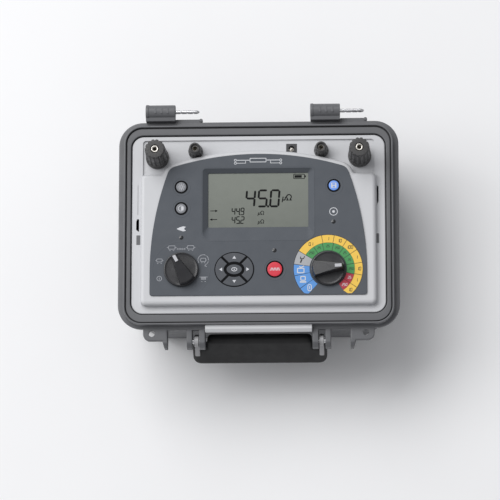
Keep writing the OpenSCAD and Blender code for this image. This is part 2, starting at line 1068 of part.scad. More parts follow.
case_base();
rim_gasket();
hinge_pins();
chin_plate();
handle_pins();
rubber_feet();
case_screws();
panel();
panel_gasket();
facia_overlay();
display_bezel();
display_window();
lcd_module();
front_board();
key_switches();
keypad_membrane();
status_leds();
mode_switch();
range_switch();
terminal_bases();
terminal_studs();
terminal_backnuts();
dc_jack();
main_board();
board_standoffs();
board_screws();
battery_pack();
battery_bracket();
power_module();
output_choke();
current_shunt();
current_busbars();
handle_frame();
handle_grip();
mode_knob();
mode_pointer();
mode_shaft();
range_knob();
range_pointer();
range_shaft();
key_backlight();
key_contrast();
key_save();
key_test();
key_up();
key_down();
key_left();
key_right();
key_ok();
c1_nut();
p1_nut();
p2_nut();
c2_nut();
c1_washer();
p1_washer();
p2_washer();
c2_washer();
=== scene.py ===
import math
from math import cos, pi, radians, sin

import bmesh
import bpy
from mathutils import Matrix, Vector
from mathutils.geometry import tessellate_polygon


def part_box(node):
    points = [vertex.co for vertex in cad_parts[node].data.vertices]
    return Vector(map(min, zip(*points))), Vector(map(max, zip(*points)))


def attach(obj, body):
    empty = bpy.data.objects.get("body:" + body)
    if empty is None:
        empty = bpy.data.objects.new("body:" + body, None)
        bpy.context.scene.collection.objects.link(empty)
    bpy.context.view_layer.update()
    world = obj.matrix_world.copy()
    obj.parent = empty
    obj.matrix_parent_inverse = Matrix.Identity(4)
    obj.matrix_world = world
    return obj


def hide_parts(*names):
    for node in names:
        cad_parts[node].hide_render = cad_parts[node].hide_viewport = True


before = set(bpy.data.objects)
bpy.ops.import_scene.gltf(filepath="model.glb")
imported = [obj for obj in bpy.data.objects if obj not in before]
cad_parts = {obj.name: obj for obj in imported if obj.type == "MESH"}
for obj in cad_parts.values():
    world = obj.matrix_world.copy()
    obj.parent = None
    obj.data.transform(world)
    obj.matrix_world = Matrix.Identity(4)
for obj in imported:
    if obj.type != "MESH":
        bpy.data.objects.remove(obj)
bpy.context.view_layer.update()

MM = 0.001
CASE = "case"


# ---------- places, read from the frame, in millimetres ----------

def low(node):
    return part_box(node)[0] / MM


def high(node):
    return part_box(node)[1] / MM


def middle(node):
    return (low(node) + high(node)) / 2


def half_size(node):
    return (high(node) - low(node)) / 2


# The rim stands round its gasket: how far the rim reaches beyond it on each side, and above it
GASKET_SIDE = 8.5
GASKET_FRONT = 5.4
GASKET_BACK = 7.8
GASKET_DROP = 3.5
RIM_TOP = high("rim_gasket").z + GASKET_DROP
RIM_X = high("rim_gasket").x + GASKET_SIDE
RIM_FRONT = low("rim_gasket").y - GASKET_FRONT
RIM_BACK = high("rim_gasket").y + GASKET_BACK
RIM_Y = (RIM_FRONT + RIM_BACK) / 2
RIM_R = 27
SHELF_Z = RIM_TOP - 8.6
PANEL_X = high("panel").x
PANEL_FRONT = low("panel").y
PANEL_BACK = high("panel").y
PANEL_R = 13
FLANGE_Z = RIM_TOP - 4
CHANNEL_Z = FLANGE_Z - 2
PLAT_Z = low("facia_overlay").z
FACE_Z = high("facia_overlay").z
FACE_SIDE = high("facia_overlay").x
FACE_FRONT = low("facia_overlay").y
FACE_TOP = high("facia_overlay").y
KEY_Z = high("key_ok").z
INK_Z = FACE_Z + 0.06


# ---------- outlines: lists of 2D points, anticlockwise ----------

def arc(cx, cy, r, a0, a1, n=8):
    steps = [radians(a0 + (a1 - a0) * i / n) for i in range(n + 1)]
    return [Vector((cx + r * cos(a), cy + r * sin(a))) for a in steps]


def rounded(x0, x1, y0, y1, r, n=8):
    """A rectangle with round corners. r is one radius, or four from the right front corner, anticlockwise."""
    rf, rb, lb, lf = (r,) * 4 if not isinstance(r, tuple) else r
    return (arc(x1 - rf, y0 + rf, rf, -90, 0, n) + arc(x1 - rb, y1 - rb, rb, 0, 90, n)
            + arc(x0 + lb, y1 - lb, lb, 90, 180, n) + arc(x0 + lf, y0 + lf, lf, 180, 270, n))


def disc(cx, cy, r, n=48):
    return arc(cx, cy, r, 0, 360 - 360 / n, n - 1)


def oval(cx, cy, rx, ry, n=64):
    return [Vector((cx + rx * cos(a), cy + ry * sin(a)))
            for a in (2 * pi * i / n for i in range(n))]


def ring_sector(cx, cy, r0, r1, a0, a1):
    n = max(3, int(abs(a1 - a0) / 4))
    return arc(cx, cy, r1, a0, a1, n) + arc(cx, cy, r0, a1, a0, n)


def soften(points, r, n=5):
    """The same outline with every corner rounded by r, or by its own radius where r is a list."""
    out = []
    count = len(points)
    for i, p in enumerate(points):
        rr = r[i] if isinstance(r, (list, tuple)) else r
        p = Vector(p)
        a = Vector(points[i - 1]) - p
        b = Vector(points[(i + 1) % count]) - p
        angle = a.angle(b)
        if rr <= 0 or angle > radians(175):
            out.append(p)
            continue
        cut = min(rr / math.tan(angle / 2), a.length * 0.49, b.length * 0.49)
        start, end = p + a.normalized() * cut, p + b.normalized() * cut
        for k in range(n + 1):
            t = k / n
            out.append(start * (1 - t) ** 2 + p * 2 * t * (1 - t) + end * t * t)
    return out


def inset(points, d):
    """The outline moved inwards by d."""
    out = []
    count = len(points)
    for i, p in enumerate(points):
        a = (p - points[i - 1]).normalized()
        b = (points[(i + 1) % count] - p).normalized()
        na, nb = Vector((-a.y, a.x)), Vector((-b.y, b.x))
        m = na + nb
        m = m.normalized() if m.length > 1e-6 else na
        out.append(p + m * (d / max(m.dot(na), 0.3)))
    return out


TOP_ARC_R = 322
SIDE_ARC_R = 335
SIDE_ARC_Y = FACE_FRONT + 27
FACE_CORNER_R = 12
FACE_FOOT_R = 3


def outer_meet(a, ra, b, rb):
    gap = b - a
    along = (gap.length_squared + ra * ra - rb * rb) / (2 * gap.length)
    u = gap.normalized()
    return a + u * along + Vector((u.y, -u.x)) * math.sqrt(ra * ra - along * along)


def face_outline(grow):
    """The facia's outline, grown by grow: four arcs a side."""
    top = Vector((0, FACE_TOP - TOP_ARC_R))
    side = Vector((FACE_SIDE - SIDE_ARC_R, SIDE_ARC_Y))
    corner = outer_meet(top, TOP_ARC_R - FACE_CORNER_R, side, SIDE_ARC_R - FACE_CORNER_R)
    to_top = math.degrees(math.atan2(*(corner - top).yx))
    to_side = math.degrees(math.atan2(*(corner - side).yx))
    foot = max(FACE_FOOT_R + grow, 1)
    right = (arc(FACE_SIDE + grow - foot, FACE_FRONT - grow + foot, foot, -90, 0, 6)
             + arc(side.x, side.y, SIDE_ARC_R + grow, 0, to_side, 24)
             + arc(corner.x, corner.y, FACE_CORNER_R + grow, to_side, to_top, 12)[1:]
             + arc(top.x, top.y, TOP_ARC_R + grow, to_top, 90, 24)[1:])
    left = [Vector((-p.x, p.y)) for p in reversed(right[:-1])]
    return right + left


# ---------- meshes ----------

def piece(name, bm, material, slot, *cad, body=CASE, sharp=35):
    """Makes the mesh a piece that rides a body and stands for CAD nodes. The slot argument is not used."""
    bmesh.ops.remove_doubles(bm, verts=bm.verts, dist=1e-7)
    bmesh.ops.recalc_face_normals(bm, faces=bm.faces)
    for face in bm.faces:
        face.smooth = True
    data = bpy.data.meshes.new(name)
    bm.to_mesh(data)
    bm.free()
    data.set_sharp_from_angle(angle=radians(sharp))
    obj = bpy.data.objects.new(name, data)
    bpy.context.scene.collection.objects.link(obj)
    data.materials.append(material)
    obj.modifiers.new("normals", "WEIGHTED_NORMAL").keep_sharp = True
    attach(obj, body)
    if cad:
        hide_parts(*cad)


def add_loft(bm, loops, caps=True, closed=False):
    """Joins loops of 3D points, all with the same count, by quads."""
    rows = [[bm.verts.new(Vector(p) * MM) for p in loop] for loop in loops]
    pairs = list(zip(rows, rows[1:]))
    if closed:
        pairs.append((rows[-1], rows[0]))
    for a, b in pairs:
        for i in range(len(a)):
            j = (i + 1) % len(a)
            bm.faces.new((a[i], a[j], b[j], b[i]))
    if caps and not closed:
        bm.faces.new(rows[0][::-1])
        bm.faces.new(rows[-1])
    return rows


def shift(bm, first, move):
    """Moves every vertex from number first on by a matrix, in millimetres."""
    bm.verts.ensure_lookup_table()
    for v in bm.verts[first:]:
        v.co = (move @ (v.co / MM)) * MM


def at_z(points, z):
    return [(p.x, p.y, z) for p in points]


def add_prism(bm, outline, z0, z1, holes=(), top=0.0, bottom=0.0, hole_top=0.0, steps=4, move=None):
    """An upright solid with round edges. Its holes are outlines too, and move is a matrix in millimetres."""
    first = len(bm.verts)
    turns = [pi / 2 * k / steps for k in range(steps + 1)]
    levels = [(0, z0)]
    if bottom > 0:
        levels = [(bottom * (1 - sin(a)), z0 + bottom * (1 - cos(a))) for a in turns]
    if top > 0:
        levels += [(top * (1 - cos(a)), z1 - top * (1 - sin(a))) for a in turns]
    else:
        levels.append((0, z1))
    hole_levels = [(0, z0), (0, z1)]
    if hole_top > 0:
        hole_levels = [(0, z0), (0, z1 - hole_top), (-hole_top * 0.35, z1 - hole_top * 0.35), (-hole_top, z1)]
    ends = []
    for ring, heights in [(outline, levels)] + [(hole[::-1], hole_levels) for hole in holes]:
        ends.append(add_loft(bm, [at_z(inset(ring, d) if d else ring, z) for d, z in heights], caps=False))
    for end in (0, -1):
        rings = [rows[end] for rows in ends]
        flat = [v for ring in rings for v in ring]
        for tri in tessellate_polygon([[v.co / MM for v in ring] for ring in rings]):
            if len(set(tri)) == 3:
                try:
                    bm.faces.new([flat[i] for i in tri])
                except ValueError:
                    pass
    if move is not None:
        shift(bm, first, move)


def prism(*shape, **edges):
    bm = bmesh.new()
    add_prism(bm, *shape, **edges)
    return bm


def add_lathe(bm, profile, move=None, n=64, closed=False):
    """Turns a list of (radius, height) round Z. The ends are capped where their radius isn't nought."""
    first = len(bm.verts)
    loops = [[(r * cos(2 * pi * i / n), r * sin(2 * pi * i / n), z) for i in range(n)]
             for r, z in profile]
    add_loft(bm, loops, closed=closed)
    if move is not None:
        shift(bm, first, move)


def at(x, y, z=0.0):
    return Matrix.Translation((x, y, z))


def along_x(x, y, z):
    """Takes a shape's own Z to X, its X to Y and its Y to Z."""
    return at(x, y, z) @ Matrix(((0, 0, 1, 0), (1, 0, 0, 0), (0, 1, 0, 0), (0, 0, 0, 1)))


def turned(degrees):
    return Matrix.Rotation(radians(degrees), 4, "Z")


# ---------- materials ----------

def nodes_of(name):
    material = bpy.data.materials.new(name)
    material.use_nodes = True
    return material, material.node_tree, material.node_tree.nodes["Principled BSDF"]


def add_node(tree, kind, output, colours=False, **inputs):
    """Adds a node and gives back one of its outputs. An input is a constant, or another node's output."""
    made = tree.nodes.new("ShaderNode" + kind)
    if colours:
        made.data_type = "RGBA"
    for name, value in inputs.items():
        socket = made.inputs[name.replace("_", " ")]
        if isinstance(value, bpy.types.NodeSocket):
            tree.links.new(value, socket)
        else:
            socket.default_value = value
    return made.outputs[output]


def noise(tree, scale, detail=4.0, rough=0.55, stretch=None):
    source = add_node(tree, "TexCoord", "Object")
    if stretch:
        source = add_node(tree, "Mapping", "Vector", Vector=source, Scale=stretch)
    return add_node(tree, "TexNoise", "Fac", Vector=source, Scale=scale, Detail=detail, Roughness=rough)


def ramp(tree, value, low_end, high_end, low_stop=0.3, high_stop=0.7):
    return add_node(tree, "MapRange", "Result", Value=value, From_Min=low_stop, From_Max=high_stop,
                    To_Min=low_end, To_Max=high_end)


def mix(tree, factor, a, b):
    a, b = ((*c, 1) if isinstance(c, tuple) else c for c in (a, b))
    return add_node(tree, "Mix", "Result", True, Factor=factor, A=a, B=b)


def add_bump(tree, shader, height, strength, distance):
    normal = add_node(tree, "Bump", "Normal", Height=height, Strength=strength, Distance=distance)
    tree.links.new(normal, shader.inputs["Normal"])


def shade(colour, k):
    return tuple(min(1.0, c * k) for c in colour)


GLOSS_VARY = 0.08


def moulded(name, colour, rough, grain, bump, vary, specular=0.5, coat=0.0, metal=0.0, stretch=None):
    """Moulded or finished stock: fine grain in the surface, soft changes of tone, and uneven gloss."""
    material, tree, shader = nodes_of(name)
    tone = ramp(tree, noise(tree, 28, 5), 0, 1)
    speck = ramp(tree, noise(tree, grain * 0.6, 2, stretch=stretch), 0, 1, 0.35, 0.65)
    base = mix(tree, tone, shade(colour, 1 - vary), shade(colour, 1 + vary))
    fine = mix(tree, speck, shade(colour, 1 - vary * 0.6), shade(colour, 1 + vary * 0.6))
    tree.links.new(mix(tree, 0.5, base, fine), shader.inputs["Base Color"])
    gloss = ramp(tree, noise(tree, 90, 4), max(rough - GLOSS_VARY, 0.03), min(rough + GLOSS_VARY, 1))
    tree.links.new(gloss, shader.inputs["Roughness"])
    shader.inputs["Specular IOR Level"].default_value = specular
    shader.inputs["Metallic"].default_value = metal
    shader.inputs["Coat Weight"].default_value = coat
    add_bump(tree, shader, noise(tree, grain, 3, 0.6, stretch), bump, 0.0002)
    return material


CASE_GREY = moulded("case grey", (0.118, 0.12, 0.128), 0.48, 1500, 0.22, 0.05)
GASKET = moulded("gasket rubber", (0.035, 0.035, 0.038), 0.75, 1800, 0.15, 0.12)
PANEL_GREY = moulded("panel light grey", (0.58, 0.585, 0.605), 0.5, 2400, 0.1, 0.025)
FACIA = moulded("facia dark grey", (0.09, 0.099, 0.114), 0.66, 3600, 0.14, 0.05, 0.3)
STRIP = moulded("chin plate light grey", (0.62, 0.625, 0.64), 0.42, 2600, 0.08, 0.03)
BLACK_RUBBER = moulded("black rubber", (0.012, 0.012, 0.014), 0.6, 2600, 0.15, 0.15)
MEMBRANE = moulded("keypad silicone", (0.004, 0.004, 0.005), 0.7, 2600, 0.1, 0.2, 0.12)
GRIP = moulded("soft-touch grip", (0.02, 0.02, 0.021), 0.62, 1900, 0.3, 0.15, 0.35)
KEY_GREY = moulded("key grey", (0.07, 0.076, 0.088), 0.6, 2600, 0.12, 0.06)
PALE_KEY = moulded("key icon grey", (0.2, 0.207, 0.225), 0.55, 2600, 0.08, 0.06)
KEY_BLUE = moulded("key blue", (0.16, 0.33, 0.83), 0.45, 2600, 0.08, 0.06)
KEY_RED = moulded("key red", (0.66, 0.035, 0.06), 0.45, 2600, 0.08, 0.05)
KNOB_BLACK = moulded("knob black", (0.02, 0.02, 0.023), 0.34, 2200, 0.18, 0.18, 0.55)
POST_BLACK = moulded("post black", (0.05, 0.049, 0.05), 0.42, 1800, 0.25, 0.18)
SWITCH_BLACK = moulded("switch body black", (0.04, 0.04, 0.043), 0.5, 1800, 0.2, 0.15)
POINTER = moulded("pointer insert", (0.5, 0.505, 0.53), 0.45, 2400, 0.1, 0.05)
ARM_GREY = moulded("handle arm grey", (0.36, 0.36, 0.37), 0.42, 1600, 0.22, 0.06)
STEEL = moulded("plated steel", (0.72, 0.72, 0.74), 0.24, 900, 0.1, 0.06, metal=1.0, stretch=(1, 6, 1))
NICKEL = moulded("nickel plate", (0.6, 0.575, 0.53), 0.32, 900, 0.08, 0.06, metal=1.0)
BRASS = moulded("brass", (0.75, 0.52, 0.23), 0.3, 900, 0.1, 0.08, metal=1.0)
COPPER = moulded("copper", (0.72, 0.36, 0.2), 0.35, 900, 0.1, 0.1, metal=1.0)
ALLOY = moulded("black anodised alloy", (0.05, 0.05, 0.055), 0.4, 1200, 0.15, 0.1, metal=0.7)
BOARD = moulded("solder mask green", (0.02, 0.13, 0.06), 0.35, 700, 0.2, 0.15, coat=0.4)
BATTERY = moulded("battery sleeve blue", (0.03, 0.09, 0.25), 0.3, 500, 0.1, 0.1)
INK_WHITE = moulded("printed white", (0.62, 0.63, 0.66), 0.6, 3000, 0.05, 0.05)
INK_PALE = moulded("printed pale grey", (0.38, 0.39, 0.42), 0.6, 3000, 0.05, 0.06)
INK_BLACK = moulded("printed black", (0.02, 0.02, 0.022), 0.6, 3000, 0.05, 0.1)
PRINT = (0.55, 3000, 0.06)      # the dial colours share their gloss, grain and bump
DIAL_YELLOW = moulded("printed yellow", (0.86, 0.55, 0.08), *PRINT, 0.03)
DIAL_GREEN = moulded("printed green", (0.06, 0.3, 0.09), *PRINT, 0.06)
DIAL_RED = moulded("printed crimson", (0.42, 0.025, 0.05), *PRINT, 0.05)
DIAL_BLUE = moulded("printed blue", (0.1, 0.3, 0.7), *PRINT, 0.04)
DIAL_GREY = moulded("printed light grey", (0.4, 0.41, 0.43), *PRINT, 0.04)
LED_DARK = moulded("dark lens", (0.012, 0.013, 0.016), 0.12, 600, 0.02, 0.1, coat=0.5)


def lcd_material():
    """A reflective display: a green-grey field with painted shade, darker to the front and lighter to the back,
    and slightly mottled.
    """
    material, tree, shader = nodes_of("liquid crystal field")
    depth = add_node(tree, "SeparateXYZ", "Y", Vector=add_node(tree, "TexCoord", "Object"))
    front, back = low("display_window").y * MM, high("display_window").y * MM
    # Painted shade: the field's colour ramps from darker at the front to lighter at the back.
    painted_front_shade = ramp(tree, depth, 0, 1, front, back)
    field = mix(tree, painted_front_shade, (0.145, 0.157, 0.138), (0.2, 0.216, 0.189))
    mottle = mix(tree, ramp(tree, noise(tree, 40, 4), 0, 1), (0.16, 0.173, 0.152), (0.19, 0.204, 0.179))
    tree.links.new(mix(tree, 0.3, field, mottle), shader.inputs["Base Color"])
    tree.links.new(ramp(tree, noise(tree, 120, 3), 0.3, 0.42), shader.inputs["Roughness"])
    add_bump(tree, shader, noise(tree, 2200, 2), 0.03, 0.0001)
    return material


def floor_material():
    material, tree, shader = nodes_of("pale paper floor")
    tone = ramp(tree, noise(tree, 3, 3), 0, 1)
    tree.links.new(mix(tree, tone, (0.88, 0.88, 0.89), (0.9, 0.9, 0.91)), shader.inputs["Base Color"])
    tree.links.new(ramp(tree, noise(tree, 60, 3), 0.8, 0.95), shader.inputs["Roughness"])
    shader.inputs["Specular IOR Level"].default_value = 0.15
    return material


LCD = lcd_material()


# ---------- case ----------

RIDGE_SIDE = 6.4
RIDGE_FRONT = 3.3
RIDGE_BACK = 5.7
RIDGE_T = 2.0
GROOVE_W = 1.4
GROOVE_FLOOR = RIM_TOP - 5.5
LEDGE_Z = RIM_TOP - 2
OPEN_GAP = 1.2
SEAT_W = 11
SEAT_BACK = 7
SEAT_R = 6
WALL = 3.5
BASE_Z = high("rubber_feet").z
RIM_DEEP = 15
BODY_TOP_IN = 6
BODY_BASE_IN = 8.5
BODY_R = 25
BODY_BASE_R = 46


def rim_loop(d, r, z):
    return at_z(rounded(-RIM_X + d, RIM_X - d, RIM_FRONT + d, RIM_BACK - d, r, 14), z)


def ridge_loop(d, z):
    """A loop d inside the outer face of the ridge that meets the lid."""
    return at_z(rounded(-RIM_X + RIDGE_SIDE + d, RIM_X - RIDGE_SIDE - d, RIM_FRONT + RIDGE_FRONT + d,
                        RIM_BACK - RIDGE_BACK - d, RIM_R - RIDGE_SIDE - d, 14), z)


def panel_loop(d, z):
    """A loop d inside the panel's outline."""
    return at_z(rounded(-PANEL_X + d, PANEL_X - d, PANEL_FRONT + d, PANEL_BACK - d, PANEL_R - d, 14), z)


def seat_loop(z):
    """The opening inside the panel's seat."""
    return at_z(rounded(-PANEL_X + SEAT_W, PANEL_X - SEAT_W, PANEL_FRONT + SEAT_W, PANEL_BACK - SEAT_BACK,
                        SEAT_R, 14), z)


def case_loops():
    """The case's section, from the middle of its base, out and up over the rim, and down inside."""
    deck = RIM_TOP - RIM_DEEP
    inner = RIDGE_T + GROOVE_W
    seat = low("panel_gasket").z
    loops = [rim_loop(BODY_BASE_IN + d, BODY_BASE_R - d, BASE_Z + h)
             for d, h in ((5, 0), (2.4, 0.4), (0.7, 2), (0, 5))]
    loops += [rim_loop(BODY_TOP_IN + d, BODY_R + r, deck + h)
              for d, r, h in ((0.3, 2.2, -12), (0, 0, -2.6), (-0.8, 0.4, -0.7), (-2.4, 0.8, 0))]
    loops += [rim_loop(d, RIM_R - d, deck + h) for d, h in ((0.9, 0.25), (0.25, 0.9), (0, 1.8))]
    loops += [rim_loop(d, RIM_R - d, SHELF_Z + h)
              for d, h in ((0, -1.9), (0.3, -0.9), (0.9, -0.25), (1.8, 0))]
    loops += [ridge_loop(d, SHELF_Z + h) for d, h in ((-0.8, 0), (-0.2, 0.25), (0, 0.8))]
    loops += [ridge_loop(d, RIM_TOP + h) for d, h in ((0, -0.7), (0.2, -0.2), (0.6, 0))]
    loops += [ridge_loop(RIDGE_T + d, RIM_TOP + h) for d, h in ((-0.6, 0), (-0.2, -0.2), (0, -0.7))]
    loops += [ridge_loop(d, GROOVE_FLOOR) for d in (RIDGE_T, inner)]
    loops += [ridge_loop(inner + d, LEDGE_Z + h) for d, h in ((0, -0.6), (0.2, -0.15), (0.6, 0))]
    loops += [panel_loop(-OPEN_GAP + d, LEDGE_Z + h) for d, h in ((-0.9, 0), (-0.3, -0.2), (0, -0.8))]
    return loops + [panel_loop(-OPEN_GAP, seat), seat_loop(seat), seat_loop(deck + 1),
                    rim_loop(BODY_TOP_IN + WALL, BODY_R - WALL, deck + 0.5),
                    rim_loop(BODY_BASE_IN + WALL, BODY_BASE_R - WALL, BASE_Z + WALL)]


TAB_Z0 = RIM_TOP - 15
TAB_Z1 = TAB_Z0 + 6
EAR_Z1 = TAB_Z1 - 0.15
INNER_EAR = (59.8, 66.5)
MIDDLE_EAR = (74.2, 80.4)
OUTER_EAR = (102.0, 109.5)
TAB_X = 129
TAB_FRONT = -126.3
PADLOCK = (119.3, -118.0, 3.5)


EAR = soften([(-104, TAB_Z0 + 0.15), (RIM_FRONT + 2, EAR_Z1), (-129, EAR_Z1), (-133.6, 111.5), (-134.8, 105),
              (-133.5, 98), (-130, 94.5), (-120, 95), (-113, 97.4), (-103.5, 66)],
             [0, 0, 4, 3, 4, 3, 2, 3, 4, 0])


def taper(bm, first, side):
    """Draws the outer ear's outer face in towards its tip."""
    bm.verts.ensure_lookup_table()
    for v in bm.verts[first:]:
        t = min(max((-119 - v.co.y / MM) / 15, 0), 1)
        x = abs(v.co.x / MM)
        v.co.x = side * (OUTER_EAR[0] + (x - OUTER_EAR[0]) * (1 - 0.55 * t)) * MM


def facing(side, move):
    """The same place, on the right for side 1 and mirrored to the left for side -1."""
    return Matrix.Diagonal((-1, 1, 1, 1)) @ move if side < 0 else move


def add_bracket(bm, side):
    """Three ears for the latch, the web between them, and a flat tab with the padlock hole."""
    for span in (INNER_EAR, MIDDLE_EAR, OUTER_EAR):
        first = len(bm.verts)
        move = facing(side, along_x(span[0], 0, 0))
        add_prism(bm, EAR, 0, span[1] - span[0], top=0.9, bottom=0.9, steps=3, move=move)
        if span is OUTER_EAR:
            taper(bm, first, side)
    flat = facing(side, Matrix.Identity(4))
    web = rounded(INNER_EAR[0] + 0.5, OUTER_EAR[1] - 0.5, -114.5, RIM_FRONT + 3, 0.6, 3)
    add_prism(bm, web, TAB_Z0, TAB_Z1, top=0.8, bottom=0.5, steps=3, move=flat)
    tab = rounded(OUTER_EAR[0] + 0.6, TAB_X, TAB_FRONT, RIM_FRONT + 3.5, (8, 2, 1, 1))
    hole = disc(*PADLOCK, 32)
    add_prism(bm, tab, TAB_Z0 - 0.02, TAB_Z1 + 0.02, [hole], top=0.9, bottom=0.6, steps=3, move=flat)


HINGE_Y = middle("hinge_pins").y
HINGE_Z = middle("hinge_pins").z
BARREL_X = (-127.0, 58.5)       # where each barrel starts
BARREL_LEN = 33.5
BARREL_R = 8.0
PIN_FREE = 27.0


def add_hinge(bm, x0):
    x1 = x0 + BARREL_LEN
    collar = BARREL_R + 0.45
    r, end = BARREL_R, BARREL_LEN
    profile = [(2.6, 2.0), (4.4, 1.6), (collar - 1.1, 0), (collar - 0.3, 0.25), (collar, 1.0), (collar, 3.0),
               (collar - 0.2, 3.4), (r, 3.7), (r, end - 0.9), (r - 0.3, end - 0.2), (r - 1, end), (3.2, end),
               (2.3, end - 0.9)]
    add_lathe(bm, profile, along_x(x0, HINGE_Y, HINGE_Z))
    y, z = HINGE_Y, HINGE_Z
    wall, top = RIM_BACK - 0.4, SHELF_Z - 0.4
    saddle = soften([(wall, z + 3.2), (wall, top), (RIM_BACK - 3, top), (RIM_BACK - 3, z - 7.9), (y, z - 7.9),
                     (y + 2, z - 5), (y - 4.5, z + 4.6)],
                    [0.8, 0, 0, 0, 0.8, 0.8, 0.8], 3)
    add_prism(bm, saddle, 0, BARREL_LEN - 0.3, top=0.5, bottom=0.5, steps=3, move=along_x(x0 + 0.15, 0, 0))
    shelf = rounded(x1 - 1, x1 + PIN_FREE + 3, RIM_BACK - 3, RIM_BACK + 3.4, (0.5, 2, 2, 0.5), 4)
    add_prism(bm, shelf, z - 9, z - 5, top=0.6, bottom=0.6, steps=3)
    add_lathe(bm, [(2, -8.8), (2, -4.4), (1.7, -3.8), (1.2, -3.6)],
              at(x1 + PIN_FREE + 1.5, RIM_BACK + 2, z), 24)
    for k in range(3):
        rib = rounded(x0 + 10 + 7 * k, x0 + 12 + 7 * k, y - 3.2, y + 3.2, 0.6, 3)
        add_prism(bm, rib, z + r - 1.2, z + r + 0.25, top=0.2, steps=2)


RIB_W = 7.0
RIB_OUT = 3.0


def add_ribs(bm):
    """Stiffening ribs that run down the case walls below the rim."""
    slope = (BODY_BASE_IN - BODY_TOP_IN) / (RIM_TOP - RIM_DEEP - BASE_Z)
    z0, z1 = 14.0, RIM_TOP - RIM_DEEP + 1
    foot = BODY_BASE_IN - slope * (z0 - BASE_Z)
    deep = RIM_BACK - RIM_Y
    for turn, reach, places in ((0, deep, (-52, 0, 52)), (-90, RIM_X, (-44, 44)), (90, RIM_X, (-44, 44)),
                                (180, deep, (-112, 112))):
        top = reach - BODY_TOP_IN
        side = soften([(reach - foot - 2, z0 - 3), (reach - foot + 0.4, z0), (reach - foot + RIB_OUT, z0 + 8),
                       (top + RIB_OUT, z1), (top - 2, z1)], [0, 2, 4, 0, 0])
        for s in places:
            add_prism(bm, side, 0, RIB_W, top=1.2, bottom=1.2, steps=3,
                      move=at(0, RIM_Y) @ turned(turn) @ along_x(s - RIB_W / 2, 0, 0))


def make_case():
    bm = bmesh.new()
    add_loft(bm, case_loops())
    for side in (1, -1):
        add_bracket(bm, side)
    chin = rounded(-INNER_EAR[0] - 0.8, INNER_EAR[0] + 0.8, -115, RIM_FRONT + 3, 0.8, 3)
    add_prism(bm, chin, TAB_Z0 + 0.03, TAB_Z1 - 0.03, top=0.6, bottom=0.6, steps=3)
    for x0 in BARREL_X:
        add_hinge(bm, x0)
    add_ribs(bm)
    piece("case_shell", bm, CASE_GREY, "case_grey", "case_base")


def make_chin_plate():
    """The light strip that lies against the front of the ridge, with a sloping front edge."""
    half = high("chin_plate").x
    z0, z1 = low("chin_plate").z, high("chin_plate").z
    front, back = low("chin_plate").y, high("chin_plate").y
    side = soften([(back, z0), (back, z1), (front + 3.4, z1), (front, z1 - 2.9), (front, z0)],
                  [0, 0, 2, 1.4, 0])
    bm = prism(side, 0, 2 * half, top=0.7, bottom=0.7, steps=3, move=along_x(-half, 0, 0))
    piece("chin_strip", bm, STRIP, "label_grey", "chin_plate")


def make_hinge_pins():
    bm = bmesh.new()
    r = (high("hinge_pins").z - low("hinge_pins").z) / 2
    for x0 in BARREL_X:
        x1 = x0 + BARREL_LEN
        start = x0 + 12.2
        profile = [(r, 0), (r, x1 - start + 1.2)]
        for k in range(3):
            g = x1 - start + 6.2 + 7 * k
            profile += [(r, g - 0.9), (r - 0.45, g - 0.55), (r - 0.45, g + 0.55), (r, g + 0.9)]
        end = x1 - start + PIN_FREE
        profile += [(r, end - 3.4), (r - 0.15, end - 2.6), (r * 0.75, end - 1.1), (r * 0.45, end - 0.2),
                    (0.6, end)]
        add_lathe(bm, profile, along_x(start, HINGE_Y, HINGE_Z), 32)
    piece("lid_hinge_pins", bm, STEEL, "steel", "hinge_pins", sharp=50)


# ---------- panel ----------

PLAT_X = 129.5
PLAT_FRONT = -84.5
PLAT_STEP = 59.3
PLAT_MARGIN = 5
PLAT_ROUND = 4.6
CHANNEL_X = 130.5
CHANNEL_BACK = 102.3


def platform_outline():
    """The side shoulders and the facia's outline in one loop, with soft inner corners."""
    face = [p for p in face_outline(PLAT_MARGIN) if p.y > PLAT_STEP + 4]
    right = rounded(0, PLAT_X + 2.2, PLAT_FRONT - 3.8, PLAT_STEP + 2, (6, 6, 6, 6), 8)[:18]
    crest = [p for p in face if p.x >= -0.001]
    crest.sort(key=lambda p: p.x, reverse=True)
    meet = Vector((crest[0].x + 1.6, PLAT_STEP + 2))
    knee = soften([right[-1], meet, crest[0]], [0, 3, 0], 5)[1:-1]
    half = right + knee + crest
    left = [Vector((-p.x, p.y)) for p in reversed(half) if p.x > 0.001]
    return half + left


JACK = middle("dc_jack")
JACK_HALF = (6.0, 5.3)
BIG_X = middle("c2_nut").x
BIG_Y = middle("c2_nut").y
SMALL_X = middle("p2_nut").x
SMALL_Y = middle("p2_nut").y
LEFT_SLOT = (-136, -134.6, 16, 51)
RIGHT_SLOT = (132.2, 135, 27, 48)
LEFT_NOTCH = (-137.6, -133.4, -4, 12)


def panel_floor_holes():
    holes = [disc(s * x, y, r, 24)
             for x, y, r in ((BIG_X, BIG_Y, 6.1), (SMALL_X, SMALL_Y, 5.1)) for s in (-1, 1)]
    w, d = JACK_HALF
    return holes + [rounded(JACK.x - w, JACK.x + w, JACK.y - d, JACK.y + d, 0.3, 3)]


def side_holes():
    """The slots and the notch in the flange, beside the platform."""
    x0, x1, y0, y1 = LEFT_NOTCH
    notch = soften([(x0, y0 + 3), (x1, y0), (x1, y1), (x0 + 1, y1), (x0, y1 - 4)], 0.4, 3)
    x0, x1, y0, y1 = RIGHT_SLOT
    slot = soften([(x0, y0 - 3), (x1, y0 + 3), (x1, y1), (x0, y1)], 0.4, 3)
    return [rounded(*LEFT_SLOT, 0.3, 3), notch, slot]


RECESS_X = 62.0
RECESS_FRONT = -15.3
RECESS_BACK = 66.6
GLASS_EDGE = 1.8
GLASS_Z = high("display_window").z


